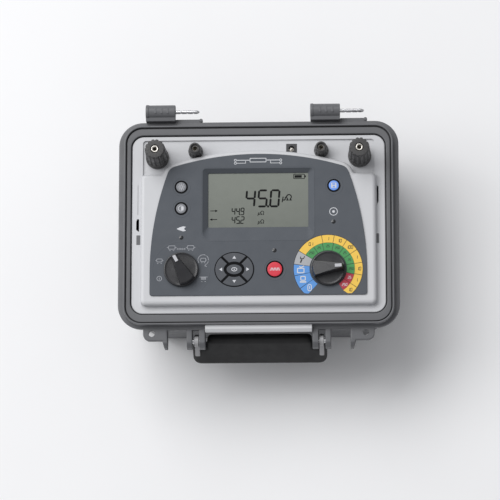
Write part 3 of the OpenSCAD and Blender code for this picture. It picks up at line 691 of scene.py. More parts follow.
def recess_outline(grow=0.0):
    return rounded(-RECESS_X - grow, RECESS_X + grow, RECESS_FRONT - grow, RECESS_BACK + grow,
                   (9 + grow, 4 + grow, 4 + grow, 9 + grow), 8)


def glass_outline(grow=0.0):
    edge = GLASS_EDGE - grow
    x1 = high("display_window").x - edge
    y0, y1 = low("display_window").y + edge, high("display_window").y - edge
    return rounded(-x1, x1, y0, y1, (1.2, 1, 1, 1.2))


LEDS = {"clip": (-85.7, -12.2), "ready": (84.2, 4.6), "test": (18.3, -27.6)}
LED_R = 2.7
COLLAR = {"key_backlight": 7.7, "key_contrast": 7.7, "key_save": 7.7, "key_test": 10.0}
PAD_RX = 22.3
PAD_RY = 20.0
BUSH_R = 5.0


def face_holes(grow=0.0):
    """Every opening through the facia and the platform's top."""
    pad = middle("key_ok")
    keys = [(middle(key), COLLAR[key], 48) for key in COLLAR]
    lamps = [(Vector(place), LED_R, 24) for place in LEDS.values()]
    bushes = [(middle(shaft), BUSH_R, 32) for shaft in ("mode_shaft", "range_shaft")]
    holes = [disc(c.x, c.y, r + grow, n) for c, r, n in keys + lamps + bushes]
    holes.insert(len(keys), oval(pad.x, pad.y, PAD_RX + grow, PAD_RY + grow))
    return [recess_outline(1.7 + grow)] + holes


def make_panel():
    bm = bmesh.new()
    outline = rounded(-PANEL_X, PANEL_X, PANEL_FRONT, PANEL_BACK, PANEL_R, 14)
    channel = rounded(-CHANNEL_X, CHANNEL_X, 40, CHANNEL_BACK, 4, 6)
    holes = [face_outline(1)] + panel_floor_holes() + side_holes()
    add_prism(bm, outline, FLANGE_Z - 4, CHANNEL_Z, holes, bottom=0.4)
    add_prism(bm, outline, CHANNEL_Z - 0.01, FLANGE_Z, [channel] + side_holes(), top=1.2, hole_top=0.5)
    add_prism(bm, platform_outline(), CHANNEL_Z - 0.02, PLAT_Z, face_holes(), top=PLAT_ROUND, steps=7)
    for x in (-124, 124):
        for y in (-62, 66):
            add_lathe(bm, [(5, low("panel").z), (5, FLANGE_Z - 3.9)], at(x, y), 32)
    piece("panel_moulding", bm, PANEL_GREY, "panel_grey", "panel", sharp=40)


def make_painted_well_shade():
    """Two dark grey patches on the flange beside the platform: painted shade that stands for two shallow square
    wells.
    """
    bm = bmesh.new()
    for x in (-134.6, 132.6):
        # Painted shade: case grey laid just proud of the light flange, where the wells' hollows would be in
        # shadow.
        add_prism(bm, rounded(x - 2.2, x + 2.2, -18, -7, 0.4, 3), FLANGE_Z - 0.4, FLANGE_Z + 0.05)
    piece("panel_painted_well_shade", bm, CASE_GREY, "panel_grey")


def make_facia():
    bm = prism(face_outline(0), PLAT_Z, FACE_Z, face_holes(0.02), top=0.5, hole_top=0.25)
    piece("facia", bm, FACIA, "facia", "facia_overlay")
    bm = bmesh.new()
    for key, r in COLLAR.items():
        c = middle(key)
        ring = [(r + 1.65, 0), (r + 1.9, 0.16), (r + 2.2, 0.22), (r + 2.5, 0.16), (r + 2.75, 0)]
        add_lathe(bm, ring, at(c.x, c.y, FACE_Z - 0.02), closed=True)
    piece("facia_embossed_rings", bm, FACIA, "facia")


def make_bezel():
    """The sloping surround between the facia and the display's glass."""
    bottom = low("display_bezel").z
    lip, glass, pocket = recess_outline(), glass_outline(), glass_outline(2.0)

    def between(t):
        return [a.lerp(b, t) for a, b in zip(lip, glass)]

    section = [(pocket, bottom), (recess_outline(1.5), bottom), (recess_outline(1.5), FACE_Z - 0.15),
               (recess_outline(1.3), FACE_Z), (recess_outline(0.5), FACE_Z), (lip, FACE_Z - 0.12),
               (between(0.06), FACE_Z - 0.5), (between(0.5), FACE_Z - (FACE_Z - GLASS_Z) * 0.5),
               (between(0.94), GLASS_Z + 0.6), (glass, GLASS_Z + 0.1), (glass, GLASS_Z), (pocket, GLASS_Z)]
    bm = bmesh.new()
    add_loft(bm, [at_z(*row) for row in section], closed=True)
    piece("display_surround", bm, FACIA, "facia", "display_bezel", sharp=30)


# ---------- printed marks: flat shapes just proud of a surface ----------

INK_T = 0.08


class Pen:
    """Draws flat marks, INK_T thick, at one height. Points are offsets from the pen's place."""

    def __init__(self, z):
        self.bm = bmesh.new()
        self.z = z
        self.x, self.y = 0.0, 0.0

    def go(self, x, y):
        self.x, self.y = x, y
        return self

    def around(self, centre, degrees, r):
        a = radians(degrees)
        return self.go(centre.x + r * cos(a), centre.y + r * sin(a))

    def fill(self, outline, holes=(), lift=0.0):
        z = self.z + lift
        add_prism(self.bm, self.placed(outline), z, z + INK_T, [self.placed(h) for h in holes])

    def placed(self, points):
        return [Vector((self.x + x, self.y + y)) for x, y in points]

    def loop(self, width, outline):
        """A closed line of even width."""
        pts = self.placed(outline)
        area = sum(a.x * b.y - b.x * a.y for a, b in zip(pts, pts[1:] + pts[:1]))
        pts = pts if area > 0 else pts[::-1]
        add_prism(self.bm, inset(pts, -width / 2), self.z, self.z + INK_T, [inset(pts, width / 2)])

    def line(self, width, *points, lift=0.0):
        """A line of even width through the points."""
        pts = self.placed(points)
        left, right = [], []
        for i, p in enumerate(pts):
            a = (p - pts[i - 1]).normalized() if i else (pts[1] - p).normalized()
            b = (pts[i + 1] - p).normalized() if i < len(pts) - 1 else a
            m = Vector((-a.y - b.y, a.x + b.x)).normalized()
            k = width / 2 / max(m.dot(Vector((-a.y, a.x))), 0.4)
            left.append(p + m * k)
            right.append(p - m * k)
        add_prism(self.bm, right + left[::-1], self.z + lift, self.z + lift + INK_T)


SEGMENTS = {
    "a": ((0.12, 1), (0.88, 1)), "b": ((1, 0.95), (1, 0.55)), "c": ((1, 0.45), (1, 0.05)),
    "d": ((0.12, 0), (0.88, 0)), "e": ((0, 0.45), (0, 0.05)), "f": ((0, 0.95), (0, 0.55)),
    "g": ((0.12, 0.5), (0.88, 0.5)),
}
DIGITS = {"0": "abcdef", "1": "bc", "2": "abged", "3": "abgcd", "4": "fgbc", "5": "afgcd", "6": "afgedc",
          "7": "abc", "8": "abcdefg", "9": "abcfgd"}


DIGIT_SLANT = 0.08


def add_number(pen, text, x, y, w, h, pitch, line):
    """Seven-segment digits from x, with y at their foot. A full stop goes at the foot, between digits."""
    pen.go(0, 0)
    for ch in text:
        if ch == ".":
            dot = x - pitch + w + (pitch - w) * 0.5
            half = line * 0.5
            pen.fill(rounded(dot - half, dot + half, y - half, y + half, line * 0.1, 2))
            continue
        for name in DIGITS[ch]:
            a, b = (Vector((x + u * w + v * h * DIGIT_SLANT, y + v * h)) for u, v in SEGMENTS[name])
            d = (b - a).normalized() * line * 0.5
            n = Vector((-d.y, d.x))
            tip, bevel = d * 0.75, d * 0.2
            pen.fill([a - tip, a + bevel - n, b - bevel - n, b + tip, b - bevel + n, a + bevel + n])
        x += pitch


def add_micro_ohm(pen, x, y, h, line):
    """The unit mark: a small mu and an omega, h high."""
    pen.go(x, y).line(line, (-0.12 * h, -0.4 * h), (0.08 * h, 0.62 * h))
    bowl = (-0.02 * h, 0.1 * h), (0.1 * h, 0), (0.3 * h, 0), (0.42 * h, 0.12 * h), (0.5 * h, 0.62 * h)
    pen.line(line, *bowl, lift=0.02)
    turns = [radians(230 - 20 * i) for i in range(15)]
    bow = [(0.425 * h * cos(a), 0.58 * h + 0.42 * h * sin(a)) for a in turns]
    pen.go(x + 1.12 * h, y).line(line, (-0.5 * h, 0), (-0.175 * h, 0), *bow, (0.175 * h, 0), (0.5 * h, 0))


def make_display():
    """The screen with one large reading and two small ones, their arrows, and a battery mark."""
    z = GLASS_Z - 0.3
    bm = prism(glass_outline(1.6), low("display_window").z, z, top=0.1)
    piece("lcd_glass", bm, LCD, "lcd", "lcd_module", "display_window")
    x0, y0 = low("display_window").x + GLASS_EDGE, low("display_window").y + GLASS_EDGE
    w, h = high("display_window").x - GLASS_EDGE - x0, high("display_window").y - GLASS_EDGE - y0
    pen = Pen(z)
    add_number(pen, "45.0", x0 + 0.375 * w, y0 + 0.385 * h, 9.2, 18.4, 13.6, 2.3)
    add_micro_ohm(pen, x0 + 0.745 * w, y0 + 0.5 * h, 6.2, 1.15)
    for row, text in ((0.235, "44.9"), (0.075, "45.2")):
        add_number(pen, text, x0 + 0.235 * w, y0 + row * h, 3.3, 7.6, 5.0, 1.05)
        add_micro_ohm(pen, x0 + 0.5 * w, y0 + row * h, 4.0, 0.7)
    for row, way in ((0.31, 1), (0.15, -1)):
        pen.go(x0 + 0.055 * w, y0 + row * h).line(0.8, (-way * 3.8, 0), (way * 1.8, 0))
        pen.fill(soften([(way * 4.6, 0), (way * 1.7, way * 1.4), (way * 1.7, -way * 1.4)], 0.1, 2), lift=0.02)
    pen.go(x0 + 0.855 * w, y0 + 0.895 * h).loop(0.7, rounded(0, 12, 0, 5, 0.3, 2))
    pen.fill(rounded(1, 9, 1, 4, 0.2, 2))
    pen.fill(rounded(12.4, 13.6, 1.4, 3.6, 0.2, 2))
    piece("lcd_segments", pen.bm, LCD_INK, "lcd")


LCD_INK = moulded("liquid crystal segments", (0.006, 0.007, 0.007), 0.6, 2000, 0.03, 0.2, 0.12)


# ---------- keys ----------

def make_membrane():
    """The black rings that stand up round the keys."""
    z0 = low("keypad_membrane").z
    top = high("keypad_membrane").z
    bm = bmesh.new()
    for key, collar in COLLAR.items():
        c = middle(key)
        r, bore = collar - 0.05, half_size(key).x + 0.3
        profile = [(bore, z0), (r, z0), (r, top - 0.5), (r - 0.15, top - 0.15), (r - 0.5, top),
                   (bore + 0.4, top), (bore + 0.1, top - 0.1), (bore, top - 0.4)]
        add_lathe(bm, profile, at(c.x, c.y), closed=True)
    pad, ok = middle("key_ok"), half_size("key_ok")
    holes = [inset(outline, -0.3) for outline in arrow_outlines().values()]
    holes.append(oval(pad.x, pad.y, ok.x + 0.3, ok.y + 0.3))
    add_prism(bm, oval(pad.x, pad.y, PAD_RX - 0.05, PAD_RY - 0.05, 96), z0, top, holes, top=0.3, hole_top=0.1)
    piece("keypad_rings", bm, MEMBRANE, "rubber_black", "keypad_membrane")


PAD_LINE = 1.1


ARROWS = {"key_right": 0, "key_up": 90, "key_left": 180, "key_down": 270}


def toward(degrees):
    return Vector((cos(radians(degrees)), sin(radians(degrees))))


def on_diagonal(turn, rx, ry, sign):
    """The angle at which an arrow key's edge, a diagonal from off the pad's middle, meets an ellipse."""
    along = toward(turn)
    d = (along + sign * Vector((-along.y, along.x))).normalized()
    o = along * 1.5 * PAD_LINE
    qa = (d.x / rx) ** 2 + (d.y / ry) ** 2
    qb = 2 * (o.x * d.x / rx ** 2 + o.y * d.y / ry ** 2)
    qc = (o.x / rx) ** 2 + (o.y / ry) ** 2 - 1
    p = o + d * (-qb + math.sqrt(qb * qb - 4 * qa * qc)) / (2 * qa)
    return math.atan2(p.y / ry, p.x / rx)


def arrow_outlines():
    """The four arrow keys' outlines: a stretch of the oval pad between two diagonals, with round corners."""
    pad, ok = middle("key_ok"), half_size("key_ok")
    n = 14
    outer = (PAD_RX - PAD_LINE, PAD_RY - PAD_LINE)
    inner = (ok.x + 2.6 * PAD_LINE, ok.y + 2.6 * PAD_LINE)
    out = {}
    for name, turn in ARROWS.items():
        points = []
        for (rx, ry), way in ((outer, 1), (inner, -1)):
            a0, a1 = on_diagonal(turn, rx, ry, -way), on_diagonal(turn, rx, ry, way)
            if (a1 - a0) * way < 0:
                a1 += 2 * pi * way
            points += [Vector((pad.x + rx * cos(a0 + (a1 - a0) * i / n),
                               pad.y + ry * sin(a0 + (a1 - a0) * i / n))) for i in range(n + 1)]
        radii = [0.8 if i in (0, n, n + 1, 2 * n + 1) else 0 for i in range(len(points))]
        out[name] = soften(points, radii, 3)
    return out


def add_key(name, material, slot, bm, draw, at_x=0.0, at_y=0.0):
    """A key's cap and the mark on it. Its body has the key's name with the two words swapped."""
    body = name.replace("key_", "") + "_key"
    piece(name + "_cap", bm, material, slot, name, body=body)
    pen = Pen(KEY_Z).go(middle(name).x + at_x, middle(name).y + at_y)
    draw(pen)
    piece(name + "_mark", pen.bm, INK_WHITE, slot, body=body)


def make_keys():
    foot = low("key_ok").z
    for name, outline in arrow_outlines().items():
        u = toward(ARROWS[name])
        v = Vector((-u.y, u.x))
        arrow = [u * 1.798, v * 2.088 - u * 1.45, -v * 2.088 - u * 1.45]
        bm = prism(outline, foot, KEY_Z, top=0.6)
        add_key(name, KEY_GREY, "key_grey", bm, lambda pen: pen.fill(arrow), u.x * 0.4, u.y * 0.4)
    pad, ok = middle("key_ok"), half_size("key_ok")
    bm = prism(oval(pad.x, pad.y, ok.x, ok.y), foot, KEY_Z, top=0.6)
    add_key("key_ok", KEY_GREY, "key_grey", bm, ok_mark)
    round_keys = (("key_backlight", PALE_KEY, "key_grey", sun_mark),
                  ("key_contrast", PALE_KEY, "key_grey", contrast_mark),
                  ("key_save", KEY_BLUE, "key_blue", save_mark), ("key_test", KEY_RED, "key_red", pulse_mark))
    for name, material, slot, draw in round_keys:
        c, r = middle(name), half_size(name).x
        bm = bmesh.new()
        add_lathe(bm, [(r, foot), (r, KEY_Z - 0.7), (r - 0.2, KEY_Z - 0.25), (r - 0.7, KEY_Z),
                       (r * 0.6, KEY_Z), (r * 0.2, KEY_Z - 0.02)], at(c.x, c.y))
        add_key(name, material, slot, bm, draw)


def ok_mark(pen):
    pen.loop(0.75, oval(0, 0, 2.9, 1.9, 32))
    pen.fill(disc(0, 0, 0.7, 16))


def sun_mark(pen):
    pen.loop(0.5, disc(0, 0, 1.5, 20))
    for k in range(8):
        pen.line(0.55, toward(45 * k) * 2.4, toward(45 * k) * 3.7)


def contrast_mark(pen):
    pen.loop(0.5, disc(0, 0, 3.0, 32))
    pen.fill(arc(0.1, 0, 2.4, -90, 90, 14))


def save_mark(pen):
    shape = soften([(-2.9, -2.9), (2.9, -2.9), (2.9, 2.9), (-2.9, 2.9)], 0.5, 3)
    pen.fill(shape, [rounded(-1.6, 1.6, 0.5, 2.3, 0.2, 2), rounded(-1.3, 1.3, -2.4, -0.6, 0.2, 2)])


def pulse_mark(pen):
    """A train of test pulses, in place of a word."""
    h = 1.1
    pen.line(0.75, (-5.4, -h), (-3.9, -h), (-3.9, h), (-2.1, h), (-2.1, -h), (-0.5, -h), (-0.5, h), (1.3, h),
             (1.3, -h), (2.9, -h), (2.9, h), (4.7, h), (4.7, -h), (5.8, -h))


def make_leds():
    bm = bmesh.new()
    z0 = low("status_leds").z
    for x, y in LEDS.values():
        r = LED_R - 0.1
        add_lathe(bm, [(r, z0), (r, FACE_Z - 0.1), (r - 0.2, FACE_Z + 0.05), (r - 0.6, FACE_Z + 0.12),
                       (r * 0.62, FACE_Z + 0.16), (r * 0.55, FACE_Z + 0.42), (r * 0.3, FACE_Z + 0.58),
                       (0.1, FACE_Z + 0.6)], at(x, y), 32)
    piece("led_lenses", bm, LED_DARK, "led_lens", "status_leds", sharp=50)


# ---------- knobs and dials ----------

KNOB_R = half_size("mode_knob").x
KNOB_TOP = high("mode_knob").z
KNOB_FOOT = low("mode_knob").z
MODE_TURN = 119
RANGE_TURN = 3.6


def make_knob(name, pointer, body, turn):
    c = middle(name.replace("knob", "shaft"))
    place = at(c.x, c.y) @ turned(turn)
    rim = KNOB_FOOT + 3.6
    bm = bmesh.new()
    add_lathe(bm, [(KNOB_R - 1.0, KNOB_FOOT), (KNOB_R - 0.1, KNOB_FOOT + 0.1), (KNOB_R, KNOB_FOOT + 0.6),
                   (KNOB_R - 0.15, rim - 0.8), (KNOB_R - 0.5, rim - 0.2), (KNOB_R - 1.1, rim),
                   (KNOB_R - 1.9, rim - 0.35), (KNOB_R - 3.5, rim - 0.7), (KNOB_R * 0.5, rim - 0.4),
                   (0.5, rim - 0.2)], place, 96)
    tip, tail, tip_w, tail_w = 17.2, KNOB_R - 1.2, 3.5, 9.6
    tail_a = math.degrees(math.asin(tail_w / tail))
    base = ([Vector((tip, -tip_w)), Vector((tip, tip_w))]
            + arc(0, 0, tail, 180 - tail_a, 180 + tail_a, 12))
    base = soften(base, [1.2, 1.2] + [1.0] + [0] * 11 + [1.0], 4)
    height = KNOB_TOP - rim

    def top_of(p, k):
        """The grip is level behind the pointer, then falls away to its broad end."""
        u = min(max((4.0 - p.x) / 22.0, 0), 1)
        return rim - 0.6 + (height + 0.6) * k * (1 - 0.5 * u ** 1.6)

    loops = [[(p.x, p.y, rim - 0.8) for p in base]]
    for d, k in ((0.0, 0.0), (0.55, 0.35), (0.95, 0.7), (1.25, 0.92), (1.7, 0.985), (2.3, 1.0)):
        loops.append([(p.x, p.y, top_of(p, k)) for p in inset(base, d * 0.9)])
    first = len(bm.verts)
    add_loft(bm, loops)
    shift(bm, first, place)
    piece(name + "_body", bm, KNOB_BLACK, "knob_black", name, body=body, sharp=28)
    bm = bmesh.new()
    mark = rounded(7.6, 15.2, -1.75, 1.75, 0.5, 4)
    add_prism(bm, mark, KNOB_TOP - 1.2, KNOB_TOP + 0.06, top=0.15, move=place)
    piece(pointer + "_insert", bm, POINTER, "pointer_grey", pointer, body=body)


RING_OUT = 38.4
RING_MID = 29.5
RING_IN = 20.6


def on_facia(outline):
    """The outline cut off square a little inside the facia's front edge."""
    return [Vector((p.x, max(p.y, FACE_FRONT + 1.4))) for p in outline]


# The range dial's divisions, in degrees anticlockwise from the right
YELLOW_EDGES = (148, 101, 79.5, 57, 33.7, 10.4, -11.5, -34.2, -56.3)
GREEN_EDGES = (148, 123, 102.8, 78, 54, 33.5, 11.5, -12.6)
RED_EDGES = (-12.6, -34, -56.3)
GREY_EDGES = (172, 148)
BLUE_EDGES = (236, 215.5, 192, 172)
DIAL_LINE = 0.28


def make_range_dial():
    """Coloured fields round the range knob on a black ground, their numbers, and four small pictures."""
    c = middle("range_shaft")
    back = on_facia(ring_sector(c.x, c.y, RING_IN - 0.4, RING_OUT + 0.4, -56.8, 236.5))
    piece("range_dial_lines", prism(back, FACE_Z - 0.01, FACE_Z + 0.03), INK_BLACK, "facia")
    bands = (("yellow", DIAL_YELLOW, YELLOW_EDGES, RING_MID, RING_OUT),
             ("green", DIAL_GREEN, GREEN_EDGES, RING_IN, RING_MID),
             ("red", DIAL_RED, RED_EDGES, RING_IN, RING_MID),
             ("grey", DIAL_GREY, GREY_EDGES, RING_IN, RING_OUT),
             ("blue", DIAL_BLUE, BLUE_EDGES, RING_IN, RING_OUT))
    for colour, material, edges, r0, r1 in bands:
        bm = bmesh.new()
        trim = math.degrees(DIAL_LINE / ((r0 + r1) / 2))
        for a1, a0 in zip(edges, edges[1:]):
            field = ring_sector(c.x, c.y, r0 + DIAL_LINE / 2, r1 - DIAL_LINE / 2, a0 + trim, a1 - trim)
            add_prism(bm, on_facia(field), FACE_Z + 0.02, FACE_Z + 0.1)
        piece("range_dial_" + colour, bm, material, "facia")
    outer = (RING_MID + RING_OUT) / 2
    inner = (RING_IN + RING_MID) / 2 + 0.6
    currents = ("0.1", "1", "10", "100", "1", "10", "1", "10")
    ohms = ("250", "25", "2.5", "250", "25", "2.5", "250")
    rows = (("currents", INK_BLACK, YELLOW_EDGES, currents, outer, 3.6),
            ("ohms", INK_BLACK, GREEN_EDGES, ohms, inner, 2.6),
            ("low_ohms", INK_WHITE, RED_EDGES, ("2.5", "250"), inner, 2.8))
    for name, material, edges, texts, r, size in rows:
        pen = Pen(FACE_Z + 0.08)
        w = size * 0.5
        pitch = w * 1.45
        for a1, a0, text in zip(edges, edges[1:], texts):
            a = radians((a0 + a1) / 2)
            x = c.x + r * cos(a) - (pitch * len(text.replace(".", "")) - (pitch - w)) / 2
            y = c.y + r * sin(a) - size / 2
            add_number(pen, text, x, y, w, size, pitch, size * 0.16)
        piece("range_dial_" + name, pen.bm, material, "facia")
    pen = Pen(FACE_Z + 0.08)
    pen.around(c, 182, 30.5).loop(1.1, rounded(-3.6, 3.6, -3.4, 1.6, 0.5, 3))
    pen.line(1.1, (-1.6, 3.6), (0.6, 2.6), (3.8, 4.4))
    pen.around(c, 203.5, 30.5).loop(1.1, rounded(-2.5, 2.5, -0.8, 3.4, 0.6, 3))
    pen.fill(rounded(-3.6, 3.6, -3.6, -1.9, 0.5, 3))
    pen.around(c, 226, 29.8).loop(0.9, rounded(-2.0, 2.0, -3.6, 3.6, 1.9, 5))
    pen.line(0.9, (0, -1.6), (0, 1.8))
    piece("range_dial_memory_marks", pen.bm, INK_WHITE, "facia")
    pen = Pen(FACE_Z + 0.08).around(c, 160, 30.5)
    pen.line(1.5, (-2.2, -3.6), (-0.4, 0.4))
    pen.line(0.9, (-1.9, 3.4), (-2.1, 1.0), (1.4, 1.2), (2.6, 3.8))
    piece("range_dial_setup_mark", pen.bm, INK_BLACK, "facia")


def resistor(pen, w=3.6, h=1.9, lead=1.8):
    pen.loop(0.55, soften([(-w, -h), (w, -h), (w, h), (-w, h)], 0.9, 4))
    pen.line(0.55, (-w - lead, 0), (-w - 0.2, 0))
    pen.line(0.55, (w + 0.2, 0), (w + lead, 0))


def ticks(pen, drop=3.4, gap=2.0):
    """Two short dashes below a picture."""
    for s in (-1, 1):
        pen.line(0.6, (s * gap - 0.65, -drop), (s * gap + 0.65, -drop))


def make_mode_marks():
    """Six small pictures round the mode knob, one at each position, and four small circles above it."""
    c = middle("mode_shaft")
    pen = Pen(INK_Z - 0.05)
    pen.around(c, 202, 26.2).loop(0.6, disc(0, 0, 2.6, 24))
    pen.line(0.6, (0, 1.2), (0, -1.2))
    resistor(pen.around(c, 156, 26.5), 3.0, 1.7, 1.4)
    ticks(pen, gap=1.9)
    for angle in (112.5, 67.5):
        resistor(pen.around(c, angle, 27.5))
        ticks(pen)
    resistor(pen.around(c, 24, 27), 2.8, 1.9, 1.2)
    ticks(pen, 3.2, 1.5)
    ring = arc(0, 0, 5.9, -60, 215, 22)
    pen.line(0.55, *ring)
    pen.line(0.55, ring[0], ring[0] + Vector((-1.2, -1.6)), ring[0] + Vector((1.0, -2.6)))
    pen.around(c, -22, 27)
    for k in range(-2, 3):
        pen.line(0.65, (k * 1.15, -1.4), (k * 1.15, 1.4))
    pen.line(0.55, (-4.6, 1.7), (4.6, 1.7))
    ticks(pen, gap=1.9)
    pen.around(c, 90, 23.6)
    for s in (-3, -1, 1, 3):
        pen.loop(0.4, disc(s * 1.25, 0, 0.75, 12))
    piece("mode_dial_marks", pen.bm, INK_PALE, "facia")


MODE_RING_R = 32.0


def make_mode_ring():
    """The low ring round the mode knob, open where it would cross the facia's front edge."""
    c = middle("mode_shaft")
    r = MODE_RING_R
    start = math.asin((FACE_FRONT + 1.6 - c.y) / r)
    turns = [start + (pi - 2 * start) * i / 96 for i in range(97)]
    section = [(-0.7, 0), (-0.45, 0.1), (0, 0.16), (0.45, 0.1), (0.7, 0)]
    bm = bmesh.new()
    add_loft(bm, [[(c.x + (r + d) * cos(a), c.y + (r + d) * sin(a), FACE_Z - 0.03 + h) for d, h in section]
                  for a in turns])
    piece("mode_dial_edge", bm, FACIA, "facia")


def make_face_marks():
    """Pictures beside the lamps, and a plain four-terminal pictogram at the top of the facia."""
    pen = Pen(INK_Z - 0.05)
    x, y = LEDS["clip"]
    jaw = [(-5.6, 0), (-2.2, 1.6), (2.0, 2.9), (5.4, 2.3), (3.4, 0.8), (3.4, -0.8), (5.4, -2.3), (2.0, -2.9),
           (-2.2, -1.6)]
    pen.go(x, y + 10).fill(soften(jaw, 0.5, 3)[::-1])
    x, y = LEDS["ready"]
    pen.go(x, y + 11.5).loop(0.75, disc(0, 0, 4.3, 36))
    pen.fill(disc(0, 0, 1.5, 20))
    pen.go(0, RECESS_BACK + 9.2)
    for s in (-1, 1):
        pen.line(0.8, (s * 9, 0), (s * 24, 0))
        pen.line(0.6, (s * 14, 0), (s * 14, -3.4), (s * 24, -3.4))
        pen.loop(0.6, disc(s * 25.4, 0, 1.2, 16))
        pen.loop(0.6, disc(s * 25.4, -3.4, 1.2, 16))
    pen.loop(0.8, rounded(-9, 9, -2.1, 2.1, 0.5, 3))
    piece("facia_pictograms", pen.bm, INK_WHITE, "facia")


# ---------- terminals ----------

def fluted_loops(profile, flutes, depth, n=12):
    """Round loops that dip at each flute. The profile is (height, radius, share of the flutes' depth)."""
    count = flutes * n
    waves = [max(0.0, cos(2 * pi * ((i % n) / n - 0.5))) ** 0.8 for i in range(count)]
    return [[((r - depth * k * waves[i]) * cos(2 * pi * i / count),
              (r - depth * k * waves[i]) * sin(2 * pi * i / count), z) for i in range(count)]
            for z, r, k in profile]


def make_post(name, big):
    c = middle(name)
    z0, z1 = low(name).z, high(name).z
    r = half_size(name).x
    if big:
        top, bore, mouth = 11.2, 4.15, 4.7
        profile = [(z0, r - 0.8, 0), (z0 + 0.6, r - 0.1, 0), (z0 + 3.6, r, 0), (z0 + 4.4, r - 0.5, 0.2),
                   (z0 + 6.5, r - 0.5, 1), (z0 + 16, r - 0.6, 1), (z0 + 17.5, r - 1.3, 0.7),
                   (z0 + 19, r - 0.8, 1), (z1 - 3, top + 0.15, 1), (z1 - 1.2, top - 0.1, 0.9),
                   (z1 - 0.4, top - 0.6, 0.6), (z1, top - 1.3, 0.3), (z1, mouth + 0.3, 0),
                   (z1 - 0.3, mouth, 0), (z1 - 2, mouth - 0.1, 0), (z1 - 2.1, bore, 0), (z0, bore, 0)]
        loops = fluted_loops(profile, 14, 1.25)
    else:
        top, bore, mouth = 6.2, 3.25, 4.5
        profile = [(z0, r - 0.5, 0), (z0 + 0.5, r, 0), (z0 + 1.6, r, 0.2), (z0 + 2.6, r - 0.2, 1),
                   (z0 + 8.4, r - 0.9, 1), (z0 + 10, r - 1.1, 0.3), (z1 - 1.4, top + 0.1, 0),
                   (z1 - 0.4, top - 0.2, 0), (z1, top - 0.8, 0), (z1, mouth + 0.3, 0), (z1 - 0.4, mouth, 0),
                   (z1 - 2.4, mouth - 0.3, 0), (z1 - 2.5, bore, 0), (z0, bore, 0)]
        loops = fluted_loops(profile, 12, 0.85)
    bm = bmesh.new()
    add_loft(bm, loops, closed=True)
    shift(bm, 0, at(c.x, c.y))
    piece(name + "_cap", bm, POST_BLACK, "post_black", name, body=name.replace("nut", "cap"), sharp=40)


def make_studs():
    bm = bmesh.new()
    z0 = low("terminal_studs").z
    for x, y, r, top in ((BIG_X, BIG_Y, 4.1, high("terminal_studs").z),
                         (SMALL_X, SMALL_Y, 3.2, high("p1_nut").z - 2.5)):
        profile = [(r, z0), (r, top - 0.6), (r - 0.15, top - 0.2), (r - 0.5, top), (2.75, top),
                   (2.25, top - 0.35), (2.0, top - 0.9), (2.0, top - 20), (0.2, top - 21)]
        for s in (-1, 1):
            add_lathe(bm, profile, at(s * x, y), 40)
    piece("socket_studs", bm, NICKEL, "plated_brass", "terminal_studs", sharp=45)


def make_post_bases():
    bm = bmesh.new()
    z0 = low("terminal_bases").z
    for s in (-1, 1):
        for x, y, r, neck, hole, h in ((BIG_X, BIG_Y, 13, 6, 4.1, 6), (SMALL_X, SMALL_Y, 8.2, 5, 3.2, 2.5)):
            top = CHANNEL_Z + h
            profile = [(hole, z0), (neck, z0), (neck, CHANNEL_Z), (r - 0.3, CHANNEL_Z), (r, CHANNEL_Z + 0.4),
                       (r, top - 1.4), (r - 0.4, top - 0.5), (r - 1.3, top), (hole, top)]
            add_lathe(bm, profile, at(s * x, y), closed=True)
    piece("post_flanges", bm, POST_BLACK, "post_black", "terminal_bases")


def make_jack():
    z0, top = low("dc_jack").z, high("dc_jack").z
    block = rounded(low("dc_jack").x, high("dc_jack").x, low("dc_jack").y, high("dc_jack").y, 0.6, 4)
    bore = Vector((JACK.x, JACK.y - 0.6))
    bm = prism(block, z0 + 3, top, [disc(*bore, 3.6, 40)], top=0.35, hole_top=0.3)
    add_prism(bm, block, z0, z0 + 3)
    piece("charger_socket", bm, SWITCH_BLACK, "switch_black", "dc_jack")
    bm = bmesh.new()
    add_lathe(bm, [(2.9, z0 + 3), (2.9, top - 3.4), (2.2, top - 3.2), (1.05, top - 3.2), (1.05, top - 1.4),
                   (0.8, top - 1.0), (0.3, top - 0.9)], at(*bore), 32)
    piece("charger_socket_pin", bm, NICKEL, "switch_black")


# ---------- handle ----------

PIVOT = middle("handle_pins")
TILT = 30
ARM_X = 69.7
ARM_W = 5.2


def make_handle():
    """The grip and the two arms, drawn in the handle's own plane: x along it, y down it, z its thickness."""
    place = at(0, PIVOT.y, PIVOT.z) @ Matrix.Rotation(radians(-TILT), 4, "X")
    half, neck = high("handle_grip").x, 59.0
    outline = soften([(-half, -48.1), (half, -48.1), (half, -19.0), (neck + 0.4, -19.0), (neck - 0.4, -6.0),
                      (-neck + 0.4, -6.0), (-neck - 0.4, -19.0), (-half, -19.0)],
                     [11, 11, 7.5, 2.5, 6.5, 6.5, 2.5, 7.5], 7)
    lying = place @ Matrix(((1, 0, 0, 0), (0, 0, 1, 0), (0, 1, 0, 0), (0, 0, 0, 1)))
    bm = prism(outline, 5.5, 18.5, top=5.1, bottom=5.1, steps=6, move=lying)
    piece("grip_overmould", bm, GRIP, "soft_grip", "handle_grip", body="handle", sharp=50)
    bm = bmesh.new()
    arm = soften([(2.0, 0.5), (2.0, -28.6), (9.0, -30), (9.0, -37.8), (14.8, -37.8), (14.8, -20), (12.8, -14),
                  (12.8, -3), (9, 0.5)], [1, 2, 2, 1, 1, 1, 2, 4, 3], 4)
    eye = [(2.55, 0), (5.3, 0), (5.9, 0.5), (5.9, ARM_W - 0.5), (5.3, ARM_W), (2.55, ARM_W)]
    for side in (1, -1):
        move = facing(side, place @ along_x(ARM_X - ARM_W / 2, 0, 0))
        add_prism(bm, arm, 0, ARM_W, top=0.8, bottom=0.8, steps=3, move=move)
        add_lathe(bm, eye, move, 40, closed=True)
    piece("handle_arms", bm, ARM_GREY, "handle_grey", "handle_frame", body="handle")


# ---------- CAD nodes that stay as they are ----------

